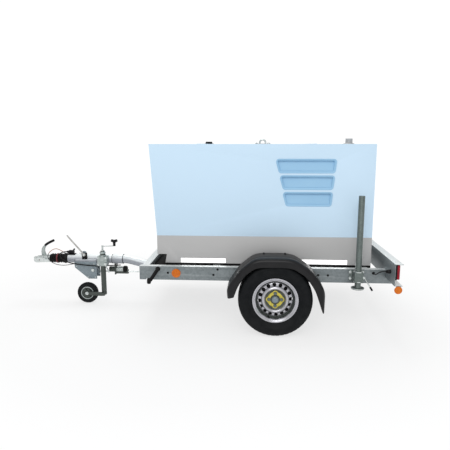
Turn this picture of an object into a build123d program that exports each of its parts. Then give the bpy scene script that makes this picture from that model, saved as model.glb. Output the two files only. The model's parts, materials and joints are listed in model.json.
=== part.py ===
from build123d import *
import math
import os

# Single-axle site trailer with a canopied power unit on a skid.
#
# X runs from the coupling to the tail, Y is negative on the left side, Z is up and the ground is
# Z = 0. All sizes are millimetres.

os.makedirs("parts", exist_ok=True)

# ---- driving dimensions: running gear -------------------------------------------------------
tyre_diameter = 590
tyre_width = 185
tyre_to_frame = 23  # inner face of a tyre outside the side member
rim_seat_radius = 165
rim_flange_radius = 182
rim_width = 127
rim_wall = 4
rim_offset = 30  # hub face outboard of the middle of the tyre
disc_wall = 5
vent_count = 16
vent_radius = 11.5
vent_circle = 124
bolt_circle = 50
bolt_radius = 6
bolt_head_radius = 9.5
bolt_head_height = 14
hub_drum_radius = 100
hub_drum_length = 65
stub_radius = 20
arm_reach = 150  # axle beam centre ahead of the wheel centre
arm_drop = 45  # wheel centre below the axle beam centre
arm_thickness = 20
arm_to_tyre = 6
beam_side = 80
bush_radius = 25
bush_depth = 60

# ---- driving dimensions: chassis ------------------------------------------------------------
frame_width = 1210
frame_front = 1118  # ahead of the wheel centre
frame_rear = 951  # behind the wheel centre
frame_over_axle = 101  # underside of the frame above the wheel centre
side_height = 115
side_flange = 50
side_wall = 4
cross_width = 60
cross_places = (-1105, -510, 90, 700)  # front edges of the crossmembers from the wheel centre
light_beam_overhang = 238  # past the side members, each end
light_beam_height = 170
light_beam_rise = 50  # underside of the light beam above the underside of the frame
light_beam_depth = 62
light_beam_wall = 4
marker_reach = 128  # marker lamp outside the side member
plug_reach = 125  # lamp plug outside the side member

# ---- driving dimensions: drawbar and overrun coupling ---------------------------------------
nose_reach = 2304  # ball coupling nose ahead of the wheel centre
socket_radius = 25.5  # for a 50 mm ball
drawbar_radius = 40
drawbar_wall = 5
drawbar_height = 416  # axis above the ground at the overrun housing
drawbar_under = 345  # axis above the ground beneath the frame
drawbar_bend = 300
sleeve_radius = 45
housing_front = 1994
housing_rear = 1526
housing_radius = 42
shaft_radius = 25
bellows_front = 2132
bellows_rear = 2000
plate_inner = 46
plate_wall = 6

# ---- driving dimensions: jockey wheel and prop stands ---------------------------------------
jockey_x = 1600  # ahead of the wheel centre
jockey_y = -79
jockey_tube_radius = 24
jockey_tube_wall = 3
jockey_tube_top = 493
jockey_wheel_radius = 100
jockey_wheel_width = 50
jockey_trail = 159
prop_x = 658
prop_standoff = 58  # tube axis outside the side member
prop_radius = 24
prop_top = 1111
prop_foot = 367
prop_wall = 3

# ---- driving dimensions: power unit ---------------------------------------------------------
skid_front = 981
skid_rear = 788
skid_half = 520
skid_height = 233
skid_wall = 4
pad_height = 14
canopy_height = 753
canopy_rake = 52  # the roof runs this far ahead of the sill
canopy_wall = 3
pocket_width = 378
pocket_height = 38
pocket_wall = 3
pocket_places = (-594, 408)  # middles of the fork pockets from the wheel centre
exhaust_x = 672
exhaust_radius = 31
exhaust_stand = 49

# ---- clearances -----------------------------------------------------------------------------
running_fit = 0.05
loose_fit = 0.2

# ---- places worked out from the driving dimensions ------------------------------------------
axle_x = (nose_reach - frame_rear) / 2
axle_z = tyre_diameter / 2
frame_z = axle_z + frame_over_axle
frame_top = frame_z + side_height
frame_half = frame_width / 2
track = frame_width + 2 * tyre_to_frame + tyre_width
light_beam_half = frame_half + light_beam_overhang
prop_y = frame_half + prop_standoff
marker_y = -(frame_half + marker_reach)
plug_y = -(frame_half + plug_reach)
cross_bottom = frame_z + side_wall
cross_top = frame_top - side_wall
skid_z = cross_top + pad_height
sill_z = skid_z + skid_height
roof_z = sill_z + canopy_height
beam_x = axle_x - arm_reach
beam_z = axle_z + arm_drop
hub_y = track / 2 + rim_offset
arm_outer = track / 2 - tyre_width / 2 - arm_to_tyre
arm_inner = arm_outer - arm_thickness


def at(x):
    """Turn a distance behind the wheel centre into an X of the part."""
    return axle_x + x


def block(x, y, z):
    """Box between three pairs of limits."""
    with BuildPart() as piece:
        with BuildSketch(Plane((0, 0, z[0]))):
            with Locations(((x[0] + x[1]) / 2, (y[0] + y[1]) / 2)):
                Rectangle(x[1] - x[0], y[1] - y[0])
        extrude(amount=z[1] - z[0])
    return piece.part


def rod(start, end, radius, bore=0.0):
    """Round bar or tube between two points."""
    way = Vector(*end) - Vector(*start)
    with BuildPart() as piece:
        with BuildSketch(Plane(origin=start, z_dir=way)):
            Circle(radius)
            if bore:
                Circle(bore, mode=Mode.SUBTRACT)
        extrude(amount=way.length)
    return piece.part


def plate(points, y, holes=()):
    """Flat plate with its outline in X and Z and its thickness between two values of Y."""
    with BuildPart() as piece:
        with BuildSketch(Plane.XZ.offset(-y[0])):
            with BuildLine():
                Polyline(*points, close=True)
            make_face()
            for x, z, radius in holes:
                with Locations((x, z)):
                    Circle(radius, mode=Mode.SUBTRACT)
        extrude(amount=y[0] - y[1])
    return piece.part


def turned(points, centre, side=1):
    """Ring of revolution about a line along Y, from (radius, distance along Y) points."""
    x, y, z = centre
    with BuildPart() as piece:
        with BuildSketch(Plane(origin=centre, x_dir=(1, 0, 0), z_dir=(0, 0, 1))):
            with BuildLine():
                Polyline(*[(radius, side * along) for radius, along in points], close=True)
            make_face()
        revolve(axis=Axis((x, y, z), (0, 1, 0)))
    return piece.part


def swept(points, radius, corner=None, bore=0.0):
    """Round bar along straight runs joined by arcs, each as large as its runs allow."""
    spots = [Vector(*point) for point in points]
    radii = []
    for before, here, after in zip(spots, spots[1:], spots[2:]):
        half_turn = math.radians((here - before).get_angle(after - here) / 2)
        shorter = min((here - before).length, (after - here).length)
        radii.append(corner or 0.45 * shorter / math.tan(half_turn))
    with BuildPart() as piece:
        with BuildLine() as path:
            FilletPolyline(*spots, radius=radii)
        with BuildSketch(Plane(origin=path.line @ 0, z_dir=path.line % 0)):
            Circle(radius)
            if bore:
                Circle(bore, mode=Mode.SUBTRACT)
        sweep()
    print("arc radii", [round(value, 1) for value in radii])
    return piece.part


def joined(first, *others):
    """One solid from pieces that are cast or welded together."""
    with BuildPart() as piece:
        add(first)
        for other in others:
            add(other)
    return piece.part


def without(first, *others):
    """The first solid with the others cut out of it."""
    with BuildPart() as piece:
        add(first)
        for other in others:
            add(other, mode=Mode.SUBTRACT)
    return piece.part


def across(piece):
    """The same piece on the other side of the trailer."""
    return mirror(piece, about=Plane.XZ)


def save(label, *pieces):
    """Write one node, a single solid or a group of separate ones."""
    solids = [solid for piece in pieces for solid in piece.solids()]
    node = solids[0] if len(solids) == 1 else Compound(children=solids)
    node.label = label
    export_step(node, f"parts/{label}.step")


# ---- side members ---------------------------------------------------------------------------
side_x = (at(-frame_front), at(frame_rear))
with BuildPart() as side_member:
    with BuildSketch(Plane.YZ.offset(side_x[0])):
        with Locations((-frame_half + side_flange / 2, frame_z + side_height / 2)):
            Rectangle(side_flange, side_height)
        with Locations((-frame_half + (side_flange + side_wall) / 2, frame_z + side_height / 2)):
            Rectangle(side_flange - side_wall, side_height - 2 * side_wall, mode=Mode.SUBTRACT)
    extrude(amount=side_x[1] - side_x[0])
bolt_spots = ((-468, 95), (-502, 48), (352, 60), (430, 60), (-880, 60))
with BuildPart() as side_holes:
    with BuildSketch(Plane.XZ.offset(frame_half + 1)):
        for x, rise in bolt_spots:
            with Locations((at(x), frame_z + rise)):
                Circle(bolt_radius)
    extrude(amount=-(side_wall + 2))
save("side_member_left", without(side_member.part, side_holes.part))
save("side_member_right", across(without(side_member.part, side_holes.part)))

# ---- crossmembers ---------------------------------------------------------------------------
cross_y = (-frame_half + side_wall, frame_half - side_wall)


def crossmember(x):
    """Channel that stands between the flanges of the side members, open towards the tail."""
    outer = block((at(x), at(x) + cross_width), cross_y, (cross_bottom, cross_top))
    inner = block(
        (at(x) + side_wall, at(x) + cross_width + 1),
        cross_y,
        (cross_bottom + side_wall, cross_top - side_wall),
    )
    return without(outer, inner)


save("crossmembers", *[crossmember(x) for x in cross_places])

# ---- rear light beam ------------------------------------------------------------------------
light_z = (frame_z + light_beam_rise, frame_z + light_beam_rise + light_beam_height)
light_x = (at(frame_rear) - light_beam_depth, at(frame_rear))
notch = block(
    (light_x[0] - 1, light_x[1] + 1),
    (-frame_half - 1, -frame_half + side_flange + 1),
    (light_z[0] - 1, frame_top),
)
light_beam = without(
    block(light_x, (-light_beam_half, light_beam_half), light_z),
    block(
        (light_x[0] + light_beam_wall, light_x[1] + 1),
        (-light_beam_half, light_beam_half),
        (light_z[0] + light_beam_wall, light_z[1] - light_beam_wall),
    ),
    notch,
    across(notch),
)
reflector_z = light_z[0] - 31
tab = block(
    (at(905), at(940)), (-light_beam_half + 5, -light_beam_half + 8), (reflector_z - 25, light_z[0])
)
save("rear_light_beam", light_beam, tab, across(tab))

# ---- drawbar --------------------------------------------------------------------------------
drawbar_rear = cross_places[1] + cross_width
drawbar = swept(
    (
        (at(-housing_rear), 0, drawbar_height),
        (at(-1385), 0, drawbar_height),
        (at(cross_places[0]), 0, drawbar_under),
        (at(drawbar_rear), 0, drawbar_under),
    ),
    drawbar_radius,
    corner=drawbar_bend,
    bore=drawbar_radius - drawbar_wall,
)
save("drawbar_tube", drawbar)
sleeve = rod(
    (at(-housing_rear), 0, drawbar_height),
    (at(-1424), 0, drawbar_height),
    sleeve_radius,
    drawbar_radius + loose_fit,
)


def saddle(x):
    """Cheek block that carries the drawbar under a crossmember."""
    body = block((x, x + cross_width), (-55, 55), (drawbar_under, cross_bottom))
    seat = rod(
        (x - 1, 0, drawbar_under), (x + cross_width + 1, 0, drawbar_under), drawbar_radius + loose_fit
    )
    return without(body, seat)


front_saddle = block((at(-1060), at(-1045)), (-55, 55), (drawbar_under, cross_bottom))
front_seat = rod(
    (at(-1061), 0, drawbar_under), (at(-1044), 0, drawbar_under), drawbar_radius + loose_fit
)
save("drawbar_mounts", sleeve, without(front_saddle, front_seat), saddle(at(cross_places[1])))

# ---- overrun housing, side plates and brake linkage -----------------------------------------
housing_web = block((at(-1880), at(-1680)), (-plate_inner, plate_inner), (350, drawbar_height))
bearing_end = at(-1560)
housing_bore = rod(
    (at(-housing_front) - 1, 0, drawbar_height), (bearing_end, 0, drawbar_height), shaft_radius + running_fit
)
housing = without(
    joined(
        rod((at(-housing_front), 0, drawbar_height), (at(-housing_rear), 0, drawbar_height), housing_radius),
        housing_web,
    ),
    housing_bore,
)
save("overrun_housing", housing)

plate_outline = (
    (at(-1891), 395),
    (at(-1887), 337),
    (at(-1757), 228),
    (at(-1675), 228),
    (at(-1675), 395),
)
pin_hole = (at(-1710), 314, 8 + running_fit)
left_plate = plate(plate_outline, (-plate_inner - plate_wall, -plate_inner), [pin_hole])
pin = joined(
    rod((at(-1710), -plate_inner - plate_wall - 8, 314), (at(-1710), plate_inner + plate_wall + 8, 314), 8),
    rod((at(-1710), -plate_inner - plate_wall - 8, 314), (at(-1710), -plate_inner - plate_wall, 314), 13),
    rod((at(-1710), plate_inner + plate_wall, 314), (at(-1710), plate_inner + plate_wall + 8, 314), 13),
)
save("overrun_side_plates", left_plate, across(left_plate), pin)

relay = without(
    joined(
        plate(
            ((at(-1730), 340), (at(-1690), 340), (at(-1665), 262), (at(-1700), 262)),
            (-12, 12),
        ),
        rod((at(-1710), -13, 314), (at(-1710), 13, 314), 22),
    ),
    rod((at(-1710), -31, 314), (at(-1710), 31, 314), 8 + running_fit),
)
save("brake_relay_lever", relay)
rod_z = 285
brake_rod = joined(
    rod((at(-1640), 22, rod_z), (at(-arm_reach) - beam_side / 2 - 60, 22, rod_z), 6),
    block((at(-1690), at(-1638)), (14, 30), (rod_z - 12, rod_z + 12)),
)
save("brake_rod", brake_rod)
spring_bracket = without(
    joined(
        block((at(-1510), at(-1500)), (-16, 60), (rod_z - 22, drawbar_height - sleeve_radius - loose_fit)),
        rod((at(-1500), 22, rod_z), (at(-1385), 22, rod_z), 22),
    ),
    rod((at(-1511), 22, rod_z), (at(-1384), 22, rod_z), 6 + running_fit),
)
save("brake_spring_cylinder", spring_bracket)

# ---- coupling -------------------------------------------------------------------------------
shaft_back = at(-1720)
head_rear = at(-2140)
shaft = rod((head_rear, 0, drawbar_height), (shaft_back, 0, drawbar_height), shaft_radius)
save("coupling_shaft", shaft)
with BuildPart() as bellows:
    with BuildSketch(Plane.XZ):
        with BuildLine():
            folds = 5
            pitch = (bellows_front - bellows_rear) / folds
            start = at(-bellows_front)
            crest = []
            for fold in range(folds):
                crest += [
                    (start + fold * pitch, drawbar_height + 34),
                    (start + (fold + 0.5) * pitch, drawbar_height + 45),
                ]
            crest.append((start + folds * pitch, drawbar_height + 34))
            bottom = drawbar_height + shaft_radius + loose_fit
            Polyline((start, bottom), *crest, (start + folds * pitch, bottom), close=True)
        make_face()
    revolve(axis=Axis((0, 0, drawbar_height), (1, 0, 0)))
save("bellows", bellows.part)

nose_x = at(-nose_reach)
socket_x = nose_x + 48
with BuildPart() as head:
    with BuildSketch(Plane.XY.offset(381)):
        with Locations((socket_x, 0)):
            Circle(44)
        with BuildLine():
            Polyline(
                (socket_x, 44), (head_rear, 30), (head_rear, -30), (socket_x, -44), close=True
            )
        make_face()
        with Locations((socket_x - 40, 0)):
            Rectangle(16, 36)
    extrude(amount=drawbar_height - 381 + 10)
    with BuildSketch(Plane.YZ.offset(head_rear - 50)):
        with Locations((0, drawbar_height)):
            Circle(30)
    extrude(amount=50)
pivot_z = 430
head_solid = without(
    joined(head.part, block((at(-2222), at(-2188)), (-18, 18), (420, 440))),
    rod((socket_x, 0, 380), (socket_x, 0, 414), socket_radius),
    block((at(-2225), at(-2150)), (-10, 10), (418, 460)),
    rod((at(-2205), -30, pivot_z), (at(-2205), 30, pivot_z), 4 + running_fit),
)
save("coupling_head", head_solid)
handle = joined(
    swept(
        (
            (at(-2205), 0, 440),
            (at(-2210), 0, 490),
            (at(-2186), 0, 540),
            (at(-2150), 0, 562),
        ),
        9,
    ),
    block((at(-2213), at(-2197)), (-8, 8), (424, 445)),
    rod((at(-2205), -21, pivot_z), (at(-2205), 21, pivot_z), 4),
)
grip_start = Vector(at(-2150), 0, 562)
grip_way = (Vector(36, 0, 22)).normalized()
grip_end = grip_start + grip_way * 62
save("coupling_handle", handle, rod(tuple(grip_start), tuple(grip_end), 12))

# ---- handbrake ------------------------------------------------------------------------------
bracket = without(
    block((at(-1815), at(-1765)), (-46, -38), (440, 482)),
    rod((at(-1790), -47, 465), (at(-1790), -37, 465), 8 + running_fit),
)
mount_bracket = without(
    joined(bracket, block((at(-1815), at(-1765)), (-46, -38), (drawbar_height + 2, 440))),
    rod((at(-1830), 0, drawbar_height), (at(-1750), 0, drawbar_height), housing_radius + loose_fit),
)
lever_bar = swept(
    (
        (at(-1790), -56, 465),
        (at(-1830), -57, 516),
        (at(-1888), -57, 583),
        (at(-1918), -57, 619),
    ),
    7,
)
lever_boss = rod((at(-1790), -64, 465), (at(-1790), -48, 465), 15)
lever_pin = rod((at(-1790), -48, 465), (at(-1790), -36, 465), 8)
lever_grip = rod((at(-1918), -57, 619), (at(-1941), -57, 646.6), 9)
save("handbrake_lever", joined(lever_bar, lever_boss, lever_pin), lever_grip)

# ---- plug holder on the housing -------------------------------------------------------------
holder = without(
    block((at(-1978), at(-1892)), (-22, 22), (440, 462)),
    rod((at(-1990), 0, drawbar_height), (at(-1880), 0, drawbar_height), housing_radius + loose_fit),
)
save("housing_brackets", mount_bracket, holder)
save("tow_plug", rod((at(-1975), -4, 480), (at(-1905), -4, 480), 18))

tow_cable = swept(
    (
        (at(-1975), -4, 480),
        (at(-2010), -4, 480),
        (at(-2036), -36, 468),
        (at(-2022), -62, 436),
        (at(-1980), -66, 405),
        (at(-1925), -66, 384),
        (at(-1860), -67, 374),
        (at(-1795), -66, 366),
        (at(-1730), -66, 361),
        (at(-1668), -62, 357),
        (at(-1622), -46, 357),
        (at(-1565), -46, 359),
        (at(-1505), -47, 363),
        (at(-1440), -44, 366),
    ),
    5,
)
save("tow_cable", tow_cable)
breakaway_cable = swept(
    (
        (at(-1978), 16, 459),
        (at(-2006), 16, 459),
        (at(-2042), 6, 492),
        (at(-2085), -8, 514),
        (at(-2125), -32, 494),
        (at(-2148), -54, 458),
        (at(-2140), -63, 418),
        (at(-2106), -65, 388),
        (at(-2062), -63, 367),
        (at(-2010), -59, 358),
        (at(-1955), -57, 361),
        (at(-1893), -57, 374),
    ),
    3,
)
save("breakaway_cable", breakaway_cable)

# ---- jockey wheel ---------------------------------------------------------------------------
jock = at(-jockey_x)
clamp_z = (370, 460)
clamp_block = without(
    block((jock - 45, jock + 45), (jockey_y - 30, -housing_radius - loose_fit), clamp_z),
    rod((jock, jockey_y, 360), (jock, jockey_y, 470), jockey_tube_radius + running_fit),
    rod((jock + 34, jockey_y - 31, 392), (jock + 34, jockey_y - 8, 392), 5 + running_fit),
)
save("jockey_clamp", clamp_block)
jockey_lever = joined(
    rod((jock + 34, jockey_y - 44, 392), (jock + 34, jockey_y - 12, 392), 5),
    rod((jock + 34, jockey_y - 44, 392), (jock + 34, jockey_y - 32, 392), 9),
    rod((jock + 34, jockey_y - 38, 392), (jock + 66, jockey_y - 38, 318), 5),
)
save("jockey_clamp_lever", jockey_lever)
tube_bottom = 120
outer_tube = rod(
    (jock, jockey_y, tube_bottom),
    (jock, jockey_y, jockey_tube_top),
    jockey_tube_radius,
    jockey_tube_radius - jockey_tube_wall,
)
cap = without(
    rod((jock, jockey_y, jockey_tube_top), (jock, jockey_y, jockey_tube_top + 18), jockey_tube_radius - 4),
    rod((jock, jockey_y, 480), (jock, jockey_y, 520), 7 + running_fit),
)
save("jockey_outer_tube", outer_tube, cap)
crank = joined(
    rod((jock, jockey_y, 420), (jock, jockey_y, 559), 7),
    rod((jock, jockey_y, 511.5), (jock, jockey_y, 526), 12),
    rod((jock, jockey_y, 552), (jock + 112, jockey_y, 562), 5),
)
knob_x = jock + 116
knob = without(
    joined(
        rod((knob_x, jockey_y, 562), (knob_x, jockey_y, 598), 10),
        rod((knob_x - 27, jockey_y, 612), (knob_x + 27, jockey_y, 612), 11),
        rod((knob_x, jockey_y, 596), (knob_x, jockey_y, 612), 12),
    ),
    rod((jock, jockey_y, 552), (jock + 112, jockey_y, 562), 5),
)
save("jockey_crank", crank, knob)
inner_radius = jockey_tube_radius - jockey_tube_wall - running_fit
inner_tube = without(
    rod((jock, jockey_y, 112), (jock, jockey_y, 420), inner_radius),
    rod((jock, jockey_y, 411), (jock, jockey_y, 421), 7 + running_fit),
)
save("jockey_inner_tube", inner_tube)
hub_x = jock - jockey_trail
arm_y = (jockey_y - jockey_wheel_width / 2 - 10, jockey_y - jockey_wheel_width / 2 - 4)
fork = joined(
    rod((jock, jockey_y, 85), (jock, jockey_y, 112 - loose_fit), jockey_tube_radius),
    block((jock - 30, jock + 10), (arm_y[0], jockey_y), (78, 106)),
    plate(
        (
            (jock - 10, 76),
            (jock - 10, 115),
            (hub_x - 5, jockey_wheel_radius + 17),
            (hub_x - 17, jockey_wheel_radius + 5),
            (hub_x - 17, jockey_wheel_radius - 5),
            (hub_x - 5, jockey_wheel_radius - 17),
        ),
        arm_y,
    ),
    rod(
        (hub_x, arm_y[0], jockey_wheel_radius),
        (hub_x, jockey_y + jockey_wheel_width / 2 + 2, jockey_wheel_radius),
        8,
    ),
)
wheel_room = block(
    (hub_x - 101, hub_x + 104), (arm_y[1], jockey_y + 30), (0, 201)
)
save("jockey_fork", joined(without(fork, wheel_room), rod(
    (hub_x, arm_y[1] - 1, jockey_wheel_radius),
    (hub_x, jockey_y + jockey_wheel_width / 2 + 2, jockey_wheel_radius),
    8,
)))
jockey_axis = (hub_x, jockey_y, jockey_wheel_radius)
jw = jockey_wheel_width / 2
jockey_tyre = turned(
    (
        (60, -jw + 4),
        (92, -jw),
        (jockey_wheel_radius, -jw + 10),
        (jockey_wheel_radius, jw - 10),
        (92, jw),
        (60, jw - 4),
    ),
    jockey_axis,
)
jockey_rim = turned(
    (
        (8 + running_fit, -22),
        (16, -22),
        (20, -6),
        (50, -6),
        (60 - loose_fit, -jw + 5),
        (60 - loose_fit, jw - 5),
        (50, 6),
        (20, 6),
        (16, 22),
        (8 + running_fit, 22),
    ),
    jockey_axis,
)
save("jockey_wheel", jockey_tyre, jockey_rim)

# ---- axle beam and swing arms ---------------------------------------------------------------
beam_half = arm_inner - 2
beam_bar = block(
    (beam_x - beam_side / 2, beam_x + beam_side / 2),
    (-beam_half, beam_half),
    (beam_z - beam_side / 2, beam_z + beam_side / 2),
)
beam_hollow = block(
    (beam_x - beam_side / 2 + 5, beam_x + beam_side / 2 - 5),
    (-beam_half + bush_depth, beam_half - bush_depth),
    (beam_z - beam_side / 2 + 5, beam_z + beam_side / 2 - 5),
)
bush_bore = rod((beam_x, -beam_half - 1, beam_z), (beam_x, beam_half + 1, beam_z), bush_radius + running_fit)
axle_beam = without(beam_bar, beam_hollow, bush_bore)
bracket_top = block(
    (beam_x - 70, beam_x + 70),
    (-frame_half + 2, -frame_half + side_flange),
    (beam_z + beam_side / 2, frame_z),
)
save("axle_beam", axle_beam, bracket_top, across(bracket_top))

arm_y0, arm_y1 = -arm_outer, -arm_inner
with BuildPart() as arm:
    with BuildSketch(Plane.XZ.offset(arm_outer)):
        with Locations((beam_x, beam_z)):
            Circle(38)
        with Locations((axle_x, axle_z)):
            Circle(32)
        with BuildLine():
            Polyline(
                (beam_x + 8, beam_z + 37),
                (axle_x + 8, axle_z + 31),
                (axle_x - 8, axle_z - 31),
                (beam_x - 8, beam_z - 37),
                close=True,
            )
        make_face()
    extrude(amount=-arm_thickness)
stub_end = -(hub_y - 5)
backplate_y = -(hub_y - hub_drum_length) + 2
arm_left = joined(
    arm.part,
    rod((beam_x, arm_y1, beam_z), (beam_x, arm_y1 + bush_depth, beam_z), bush_radius),
    rod((axle_x, arm_y0, axle_z), (axle_x, stub_end, axle_z), stub_radius),
    rod((axle_x, backplate_y + 4, axle_z), (axle_x, backplate_y, axle_z), hub_drum_radius + 5),
)
save("swing_arm_left", arm_left)
save("swing_arm_right", across(arm_left))

# ---- wheels ---------------------------------------------------------------------------------
wheel_centre = (axle_x, -track / 2, axle_z)
half_rim = rim_width / 2
half_tyre = tyre_width / 2
tyre_radius = tyre_diameter / 2
bead = rim_seat_radius + loose_fit
half_profile = (
    (bead, half_rim - 1),
    (rim_flange_radius + 2, half_rim - 1),
    (rim_flange_radius + 14, half_tyre - 10),
    (rim_flange_radius + 50, half_tyre),
    (tyre_radius - 25, half_tyre - 5),
    (tyre_radius - 5, half_tyre - 22),
    (tyre_radius, half_tyre - 45),
)
inner_profile = (
    (tyre_radius - 12, half_tyre - 45),
    (tyre_radius - 30, half_tyre - 14),
    (rim_flange_radius + 50, half_tyre - 9),
    (rim_flange_radius + 10, half_rim - 6),
    (bead, half_rim - 9),
)
tyre_points = (
    [(radius, -along) for radius, along in half_profile]
    + [(radius, along) for radius, along in reversed(half_profile)]
    + [(radius, along) for radius, along in reversed(inner_profile)]
    + [(radius, -along) for radius, along in inner_profile]
)
tyre = turned(tyre_points, wheel_centre)
save("tyre_left", tyre)
save("tyre_right", across(tyre))

seat = rim_seat_radius
well = rim_seat_radius - 20
barrel_points = (
    (rim_flange_radius, -half_rim - 5),
    (rim_flange_radius, -half_rim),
    (seat, -half_rim),
    (seat, -38),
    (well, -26),
    (well, 26),
    (seat, 38),
    (seat, half_rim),
    (rim_flange_radius, half_rim),
    (rim_flange_radius, half_rim + 5),
    (seat - rim_wall, half_rim + 5),
    (seat - rim_wall, 40),
    (well - rim_wall, 28),
    (well - rim_wall, -28),
    (seat - rim_wall, -40),
    (seat - rim_wall, -half_rim - 5),
)
disc_points = (
    (31, rim_offset),
    (75, rim_offset),
    (105, rim_offset + 12),
    (130, rim_offset + 8),
    (seat - rim_wall + 1, rim_offset + 6),
    (seat - rim_wall + 1, rim_offset + 12),
    (135, rim_offset + 14),
    (103, rim_offset + 18),
    (73, rim_offset + disc_wall),
    (31, rim_offset + disc_wall),
)
barrel = turned(barrel_points, wheel_centre, side=-1)
disc = turned(disc_points, wheel_centre, side=-1)
with BuildPart() as vents:
    with BuildSketch(Plane.XZ.offset(hub_y - 5)):
        with Locations((axle_x, axle_z)):
            with PolarLocations(vent_circle, vent_count):
                Circle(vent_radius)
            with PolarLocations(bolt_circle, 4):
                Circle(bolt_radius + loose_fit)
    extrude(amount=30)
rim = without(joined(barrel, disc), vents.part)
save("rim_left", rim)
save("rim_right", across(rim))

face_y = -hub_y
with BuildPart() as hub:
    with BuildSketch(Plane.XZ.offset(hub_y)):
        with Locations((axle_x, axle_z)):
            Circle(hub_drum_radius)
    extrude(amount=-hub_drum_length)
    with BuildSketch(Plane.XZ.offset(hub_y)):
        with Locations((axle_x, axle_z)):
            Circle(28)
    extrude(amount=28)
bolt_holes = []
bolts = []
for turn in range(4):
    x = axle_x + bolt_circle * math.cos(turn * math.pi / 2)
    z = axle_z + bolt_circle * math.sin(turn * math.pi / 2)
    bolt_holes.append(rod((x, face_y - 1, z), (x, face_y + 20, z), bolt_radius + loose_fit))
    bolts.append(
        joined(
            rod((x, face_y + 18, z), (x, face_y - disc_wall - 2, z), bolt_radius),
            rod(
                (x, face_y - disc_wall - 2, z),
                (x, face_y - disc_wall - 2 - bolt_head_height, z),
                bolt_head_radius,
            ),
        )
    )
stub_bore = rod(
    (axle_x, face_y + hub_drum_length + 1, axle_z), (axle_x, face_y + 4.5, axle_z), stub_radius + running_fit
)
hub_solid = without(hub.part, stub_bore, *bolt_holes)
save("hub_drum_left", hub_solid)
save("hub_drum_right", across(hub_solid))
with BuildPart() as ring:
    with BuildSketch(Plane.XZ.offset(hub_y + disc_wall)):
        with Locations((axle_x, axle_z)):
            Circle(44)
            with PolarLocations(bolt_circle, 4):
                Circle(17)
            Circle(30, mode=Mode.SUBTRACT)
            with PolarLocations(bolt_circle, 4):
                Circle(bolt_radius + loose_fit, mode=Mode.SUBTRACT)
    extrude(amount=2)
save("wheel_bolts_left", ring.part, *bolts)
save("wheel_bolts_right", across(ring.part), *[across(bolt) for bolt in bolts])

# ---- mudguards ------------------------------------------------------------------------------
guard_wall = 4
guard_over_tyre = 41  # flat top above the tread
guard_y = (-(track / 2 + half_tyre + 15), -(frame_half + 3))
guard_top = tyre_diameter + guard_over_tyre
arch = (
    (-tyre_radius - 68, axle_z + 29),
    (-tyre_radius - 75, axle_z + 100),
    (-tyre_radius + 11, guard_top - 91),
    (-163, guard_top),
    (136, guard_top),
    (tyre_radius - 12, guard_top - 100),
    (tyre_radius + 81, axle_z + 86),
    (tyre_radius + 71, axle_z - 83),
)
arch_inner = (
    (-tyre_radius - 64, axle_z + 29),
    (-tyre_radius - 71, axle_z + 101),
    (-tyre_radius + 14, guard_top - 94),
    (-161, guard_top - guard_wall),
    (135, guard_top - guard_wall),
    (tyre_radius - 15, guard_top - 103),
    (tyre_radius + 77, axle_z + 85),
    (tyre_radius + 67, axle_z - 83),
)
lip_inner = (
    (-tyre_radius - 45, axle_z + 35),
    (-tyre_radius + 6, axle_z + 119),
    (-tyre_radius + 55, guard_top - 131),
    (-150, guard_top - 65),
    (122, guard_top - 65),
    (tyre_radius - 67, guard_top - 131),
    (tyre_radius + 5, axle_z + 100),
    (tyre_radius + 50, axle_z - 80),
)
guard_skin = plate([(at(x), z) for x, z in arch + arch_inner[::-1]], guard_y)
guard_lip = plate([(at(x), z) for x, z in arch + lip_inner[::-1]], (guard_y[0], guard_y[0] + guard_wall))
guard = joined(guard_skin, guard_lip)
save("mudguard_left", guard)
save("mudguard_right", across(guard))
struts = []
for x in (-110, 60):
    struts.append(
        joined(
            block((at(x), at(x) + 36), (-frame_half - 3, -frame_half), (frame_z + 45, guard_top - guard_wall)),
            block(
                (at(x), at(x) + 36),
                (-frame_half - 170, -frame_half - 3),
                (guard_top - guard_wall - 3, guard_top - guard_wall),
            ),
        )
    )
save("mudguard_struts", *struts, *[across(strut) for strut in struts])

# ---- lamps and reflectors -------------------------------------------------------------------
web_rear = light_x[0] + light_beam_wall
lamp_y = (-light_beam_half + 4, -light_beam_half + 224)
lamp_z = (light_z[0] + 46, light_z[1] - light_beam_wall)
lamp_body = block((web_rear, web_rear + 12), lamp_y, lamp_z)
lamp_lens = block(
    (web_rear + 12, web_rear + 36), (lamp_y[0] + 4, lamp_y[1] - 4), (lamp_z[0] + 4, lamp_z[1] - 4)
)
save("tail_lamps", lamp_body, across(lamp_body), lamp_lens, across(lamp_lens))
rear_reflector = rod(
    (at(921), -light_beam_half + 5, reflector_z), (at(921), -light_beam_half, reflector_z), 30
)
front_reflector = rod(
    (at(-811), -frame_half, frame_z + 58), (at(-811), -frame_half - 6, frame_z + 58), 37
)
save(
    "side_reflectors", rear_reflector, across(rear_reflector), front_reflector, across(front_reflector)
)
arm_body = without(
    joined(
        rod((at(-963), -frame_half, frame_z + 92), (at(-963), -frame_half - 8, frame_z + 92), 20),
        rod((at(-963), -frame_half - 4, frame_z + 92), (at(-1009), marker_y, frame_z + 12), 13),
        rod((at(-1000), marker_y, frame_z + 26), (at(-1022), marker_y, frame_z + 26), 24),
    ),
    block((at(-1020), at(-900)), (-frame_half, -frame_half + 40), (frame_z, frame_top + 40)),
)
marker_lens = rod((at(-1022), marker_y, frame_z + 26), (at(-1034), marker_y, frame_z + 26), 21)
save("marker_lamps", arm_body, across(arm_body), marker_lens, across(marker_lens))
lamp_plug = rod((at(852), plug_y, 530), (light_x[0], plug_y, 530), 15)
grommet = rod((at(792), -frame_half, 480), (at(792), -frame_half - 8, 480), 9)
save("lamp_plugs", lamp_plug, grommet, across(lamp_plug), across(grommet))
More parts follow.
